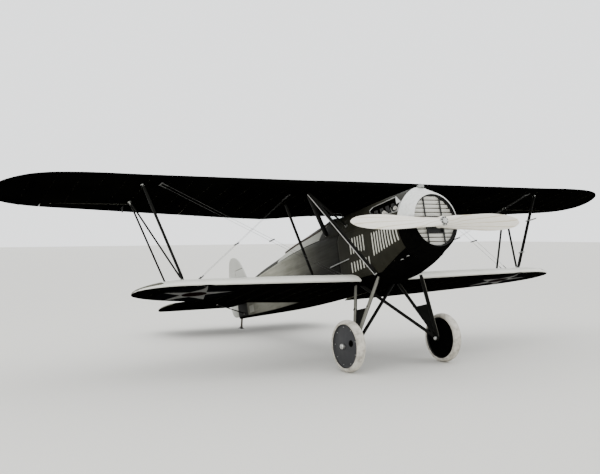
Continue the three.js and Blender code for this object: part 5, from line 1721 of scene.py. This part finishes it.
TAIL_PLAN = [
    (20, 4320), (420, 4335), (900, 4345), (1300, 4370), (1600, 4440), (1760, 4550), (1840, 4720),
    (1860, 4950), (1850, 5200), (1820, 5400), (1770, 5600), (1710, 5700), (1500, 5715), (900, 5690),
    (150, 5640), (95, 5500), (70, 5170), (20, 5170),
]
STAB_Z, STAB_HINGE, ELEVATOR_X = 1317.0, 5170.0, (110.0, 1834.0)


def on_tail(a, b, h):
    """A point of the stabiliser: outwards, aft and over its middle plane."""
    return Vector((a, b, STAB_Z + h))


# how far the fixed part ends ahead of the hinge line, and how far its lugs reach
ROOM, REACH = 22, 33


def round_nose(place, marks, ends):
    """The tube along the hinge line of a moving part, left open at each lug."""
    spans = [ends[0], *(mark + gap for mark in marks for gap in (-LUG_GAP, LUG_GAP)), ends[1]]
    return [tube(place(low), place(high), 18.5, 0, 32) for low, high in zip(spans[::2], spans[1::2])]


for side, word in SIDES:
    fixed = kept(surface_plate(TAIL_PLAN, on_tail), (0, STAB_HINGE - ROOM, 0), (0, 1, 0))
    moving = kept(surface_plate(TAIL_PLAN, on_tail), (0, STAB_HINGE, 0), (0, -1, 0))
    moving = kept(moving, (ELEVATOR_X[0], 0, 0), (-1, 0, 0))
    marks = [ELEVATOR_X[0] + share * (ELEVATOR_X[1] - ELEVATOR_X[0]) for share in LUGS]
    noses = round_nose(lambda x: (x, STAB_HINGE + 0.5, STAB_Z), marks, ELEVATOR_X)
    pins = [part for x in marks for part in hinge_lug((x, STAB_HINGE, STAB_Z), (1, 0, 0), REACH)]
    parts = {
        f"stabiliser_{word}_linen": (painted(fixed), "airframe", [f"stabiliser_{word}"]),
        f"elevator_{word}_linen": (painted(join(moving, *noses)), "elevator", [f"elevator_{word}"]),
    }
    for name, (bm, body, nodes) in parts.items():
        put(on_side(bm, side), name, LINEN, body, "fabric_olive", nodes)
    put(on_side(join(*pins), side), f"elevator_{word}_lugs", [hub_steel], "airframe", "steel_hub")

RUDDER_HINGE, BALANCE_Z = 5462.0, 2070.0
FIN_PLAN = [
    (4800, 1600), (4880, 1720), (4960, 1850), (5040, 1970), (5100, BALANCE_Z - 8),
    (RUDDER_HINGE, BALANCE_Z - 8), (RUDDER_HINGE, 1080), (5370, 1060), (5300, 1400),
]
RUDDER_PLAN = [
    (5380, 1075), (5560, 1068), (5700, 1090), (5800, 1180), (5850, 1340), (5862, 1560), (5845, 1800),
    (5815, 2000), (5775, 2190), (5725, 2310), (5640, 2368), (5540, 2372), (5430, 2345), (5320, 2285),
    (5210, 2195), (5120, 2078), (5080, 1950),
]


def on_fin(a, b, h):
    """A point of the fin: aft, up and to port of its middle plane."""
    return Vector((h, a, b))


fixed = kept(surface_plate(FIN_PLAN, on_fin), (0, RUDDER_HINGE - ROOM, 0), (0, 1, 0))
put(fixed, "fin_linen", [fin_linen], "airframe", "fabric_olive", ["fin"])
moving = kept(surface_plate(RUDDER_PLAN, on_fin), (0, RUDDER_HINGE, 0), (0, -1, 0))
horn = kept(surface_plate(RUDDER_PLAN, on_fin), (0, 0, BALANCE_Z + 2), (0, 0, -1))
horn = kept(horn, (0, RUDDER_HINGE, 0), (0, 1, 0))
LUG_Z = (1160, 1560, 1980)
posts = round_nose(lambda z: (0, RUDDER_HINGE, z), LUG_Z, (1092.0, BALANCE_Z + 20))
pins = [part for z in LUG_Z for part in hinge_lug((0, RUDDER_HINGE, z), (0, 0, 1), REACH)]
put(join(moving, horn, *posts), "rudder_linen", [fin_linen], "rudder", "fabric_olive", ["rudder"])
put(join(*pins), "rudder_lugs", [hub_steel], "airframe", "steel_hub")

for side, word in SIDES:
    head, heel = Vector((760, 4900, STAB_Z - 20)), met((760, 4900, 1305), (30, 5080, 1080), off_hull)
    brace = faired(head, heel + (heel - head).normalized() * 8, 40, 20, (0.7, 0.7), 60)
    ends = join(fitting(head, heel, 9, 34), fitting(heel, head, 9, 34))
    for name, bm, material, nodes in (
        (f"tail_brace_{word}_tube", brace, strut_paint, [f"tail_brace_{word}"]),
        (f"tail_brace_{word}_ends", ends, hub_steel, []),
    ):
        put(on_side(bm, side), name, [material], "airframe", "steel_tube", nodes)

ON_GROUND = Matrix.Rotation(PITCH, 4, "X") @ Matrix.Translation((0, 0, -381))
ash = mottled(
    "oil_darkened_ash", (14.0, 6.0), [(0.3, "#2d251c"), (0.7, "#443828")],
    {"Roughness": 0.65}, (0.3, 0.001), (6, 6, 0.8),
)
leg = faired((0, 5510, 14), (0, 5474, 296), 52, 40, (1.0, 1.0), 20)
shoe = join(block((-38, 38), (5450, 5600), (0, 9), 3), block((-24, 24), (5462, 5572), (9, 26), 6))
bolts = [tube((-x, y, z), (x, y, z), 8, 0, 16) for x, y, z in ((30, 5512, 40), (27, 5485, 215))]
shoe = join(shoe, *bolts)
for name, bm, material, nodes in (
    ("tail_skid_leg", leg, ash, ["tail_skid"]),
    ("tail_skid_shoe", shoe, black_iron_and_shade, []),
):
    bmesh.ops.transform(bm, matrix=ON_GROUND, verts=bm.verts)
    put(bm, name, [material], "airframe", "steel_tube", nodes)
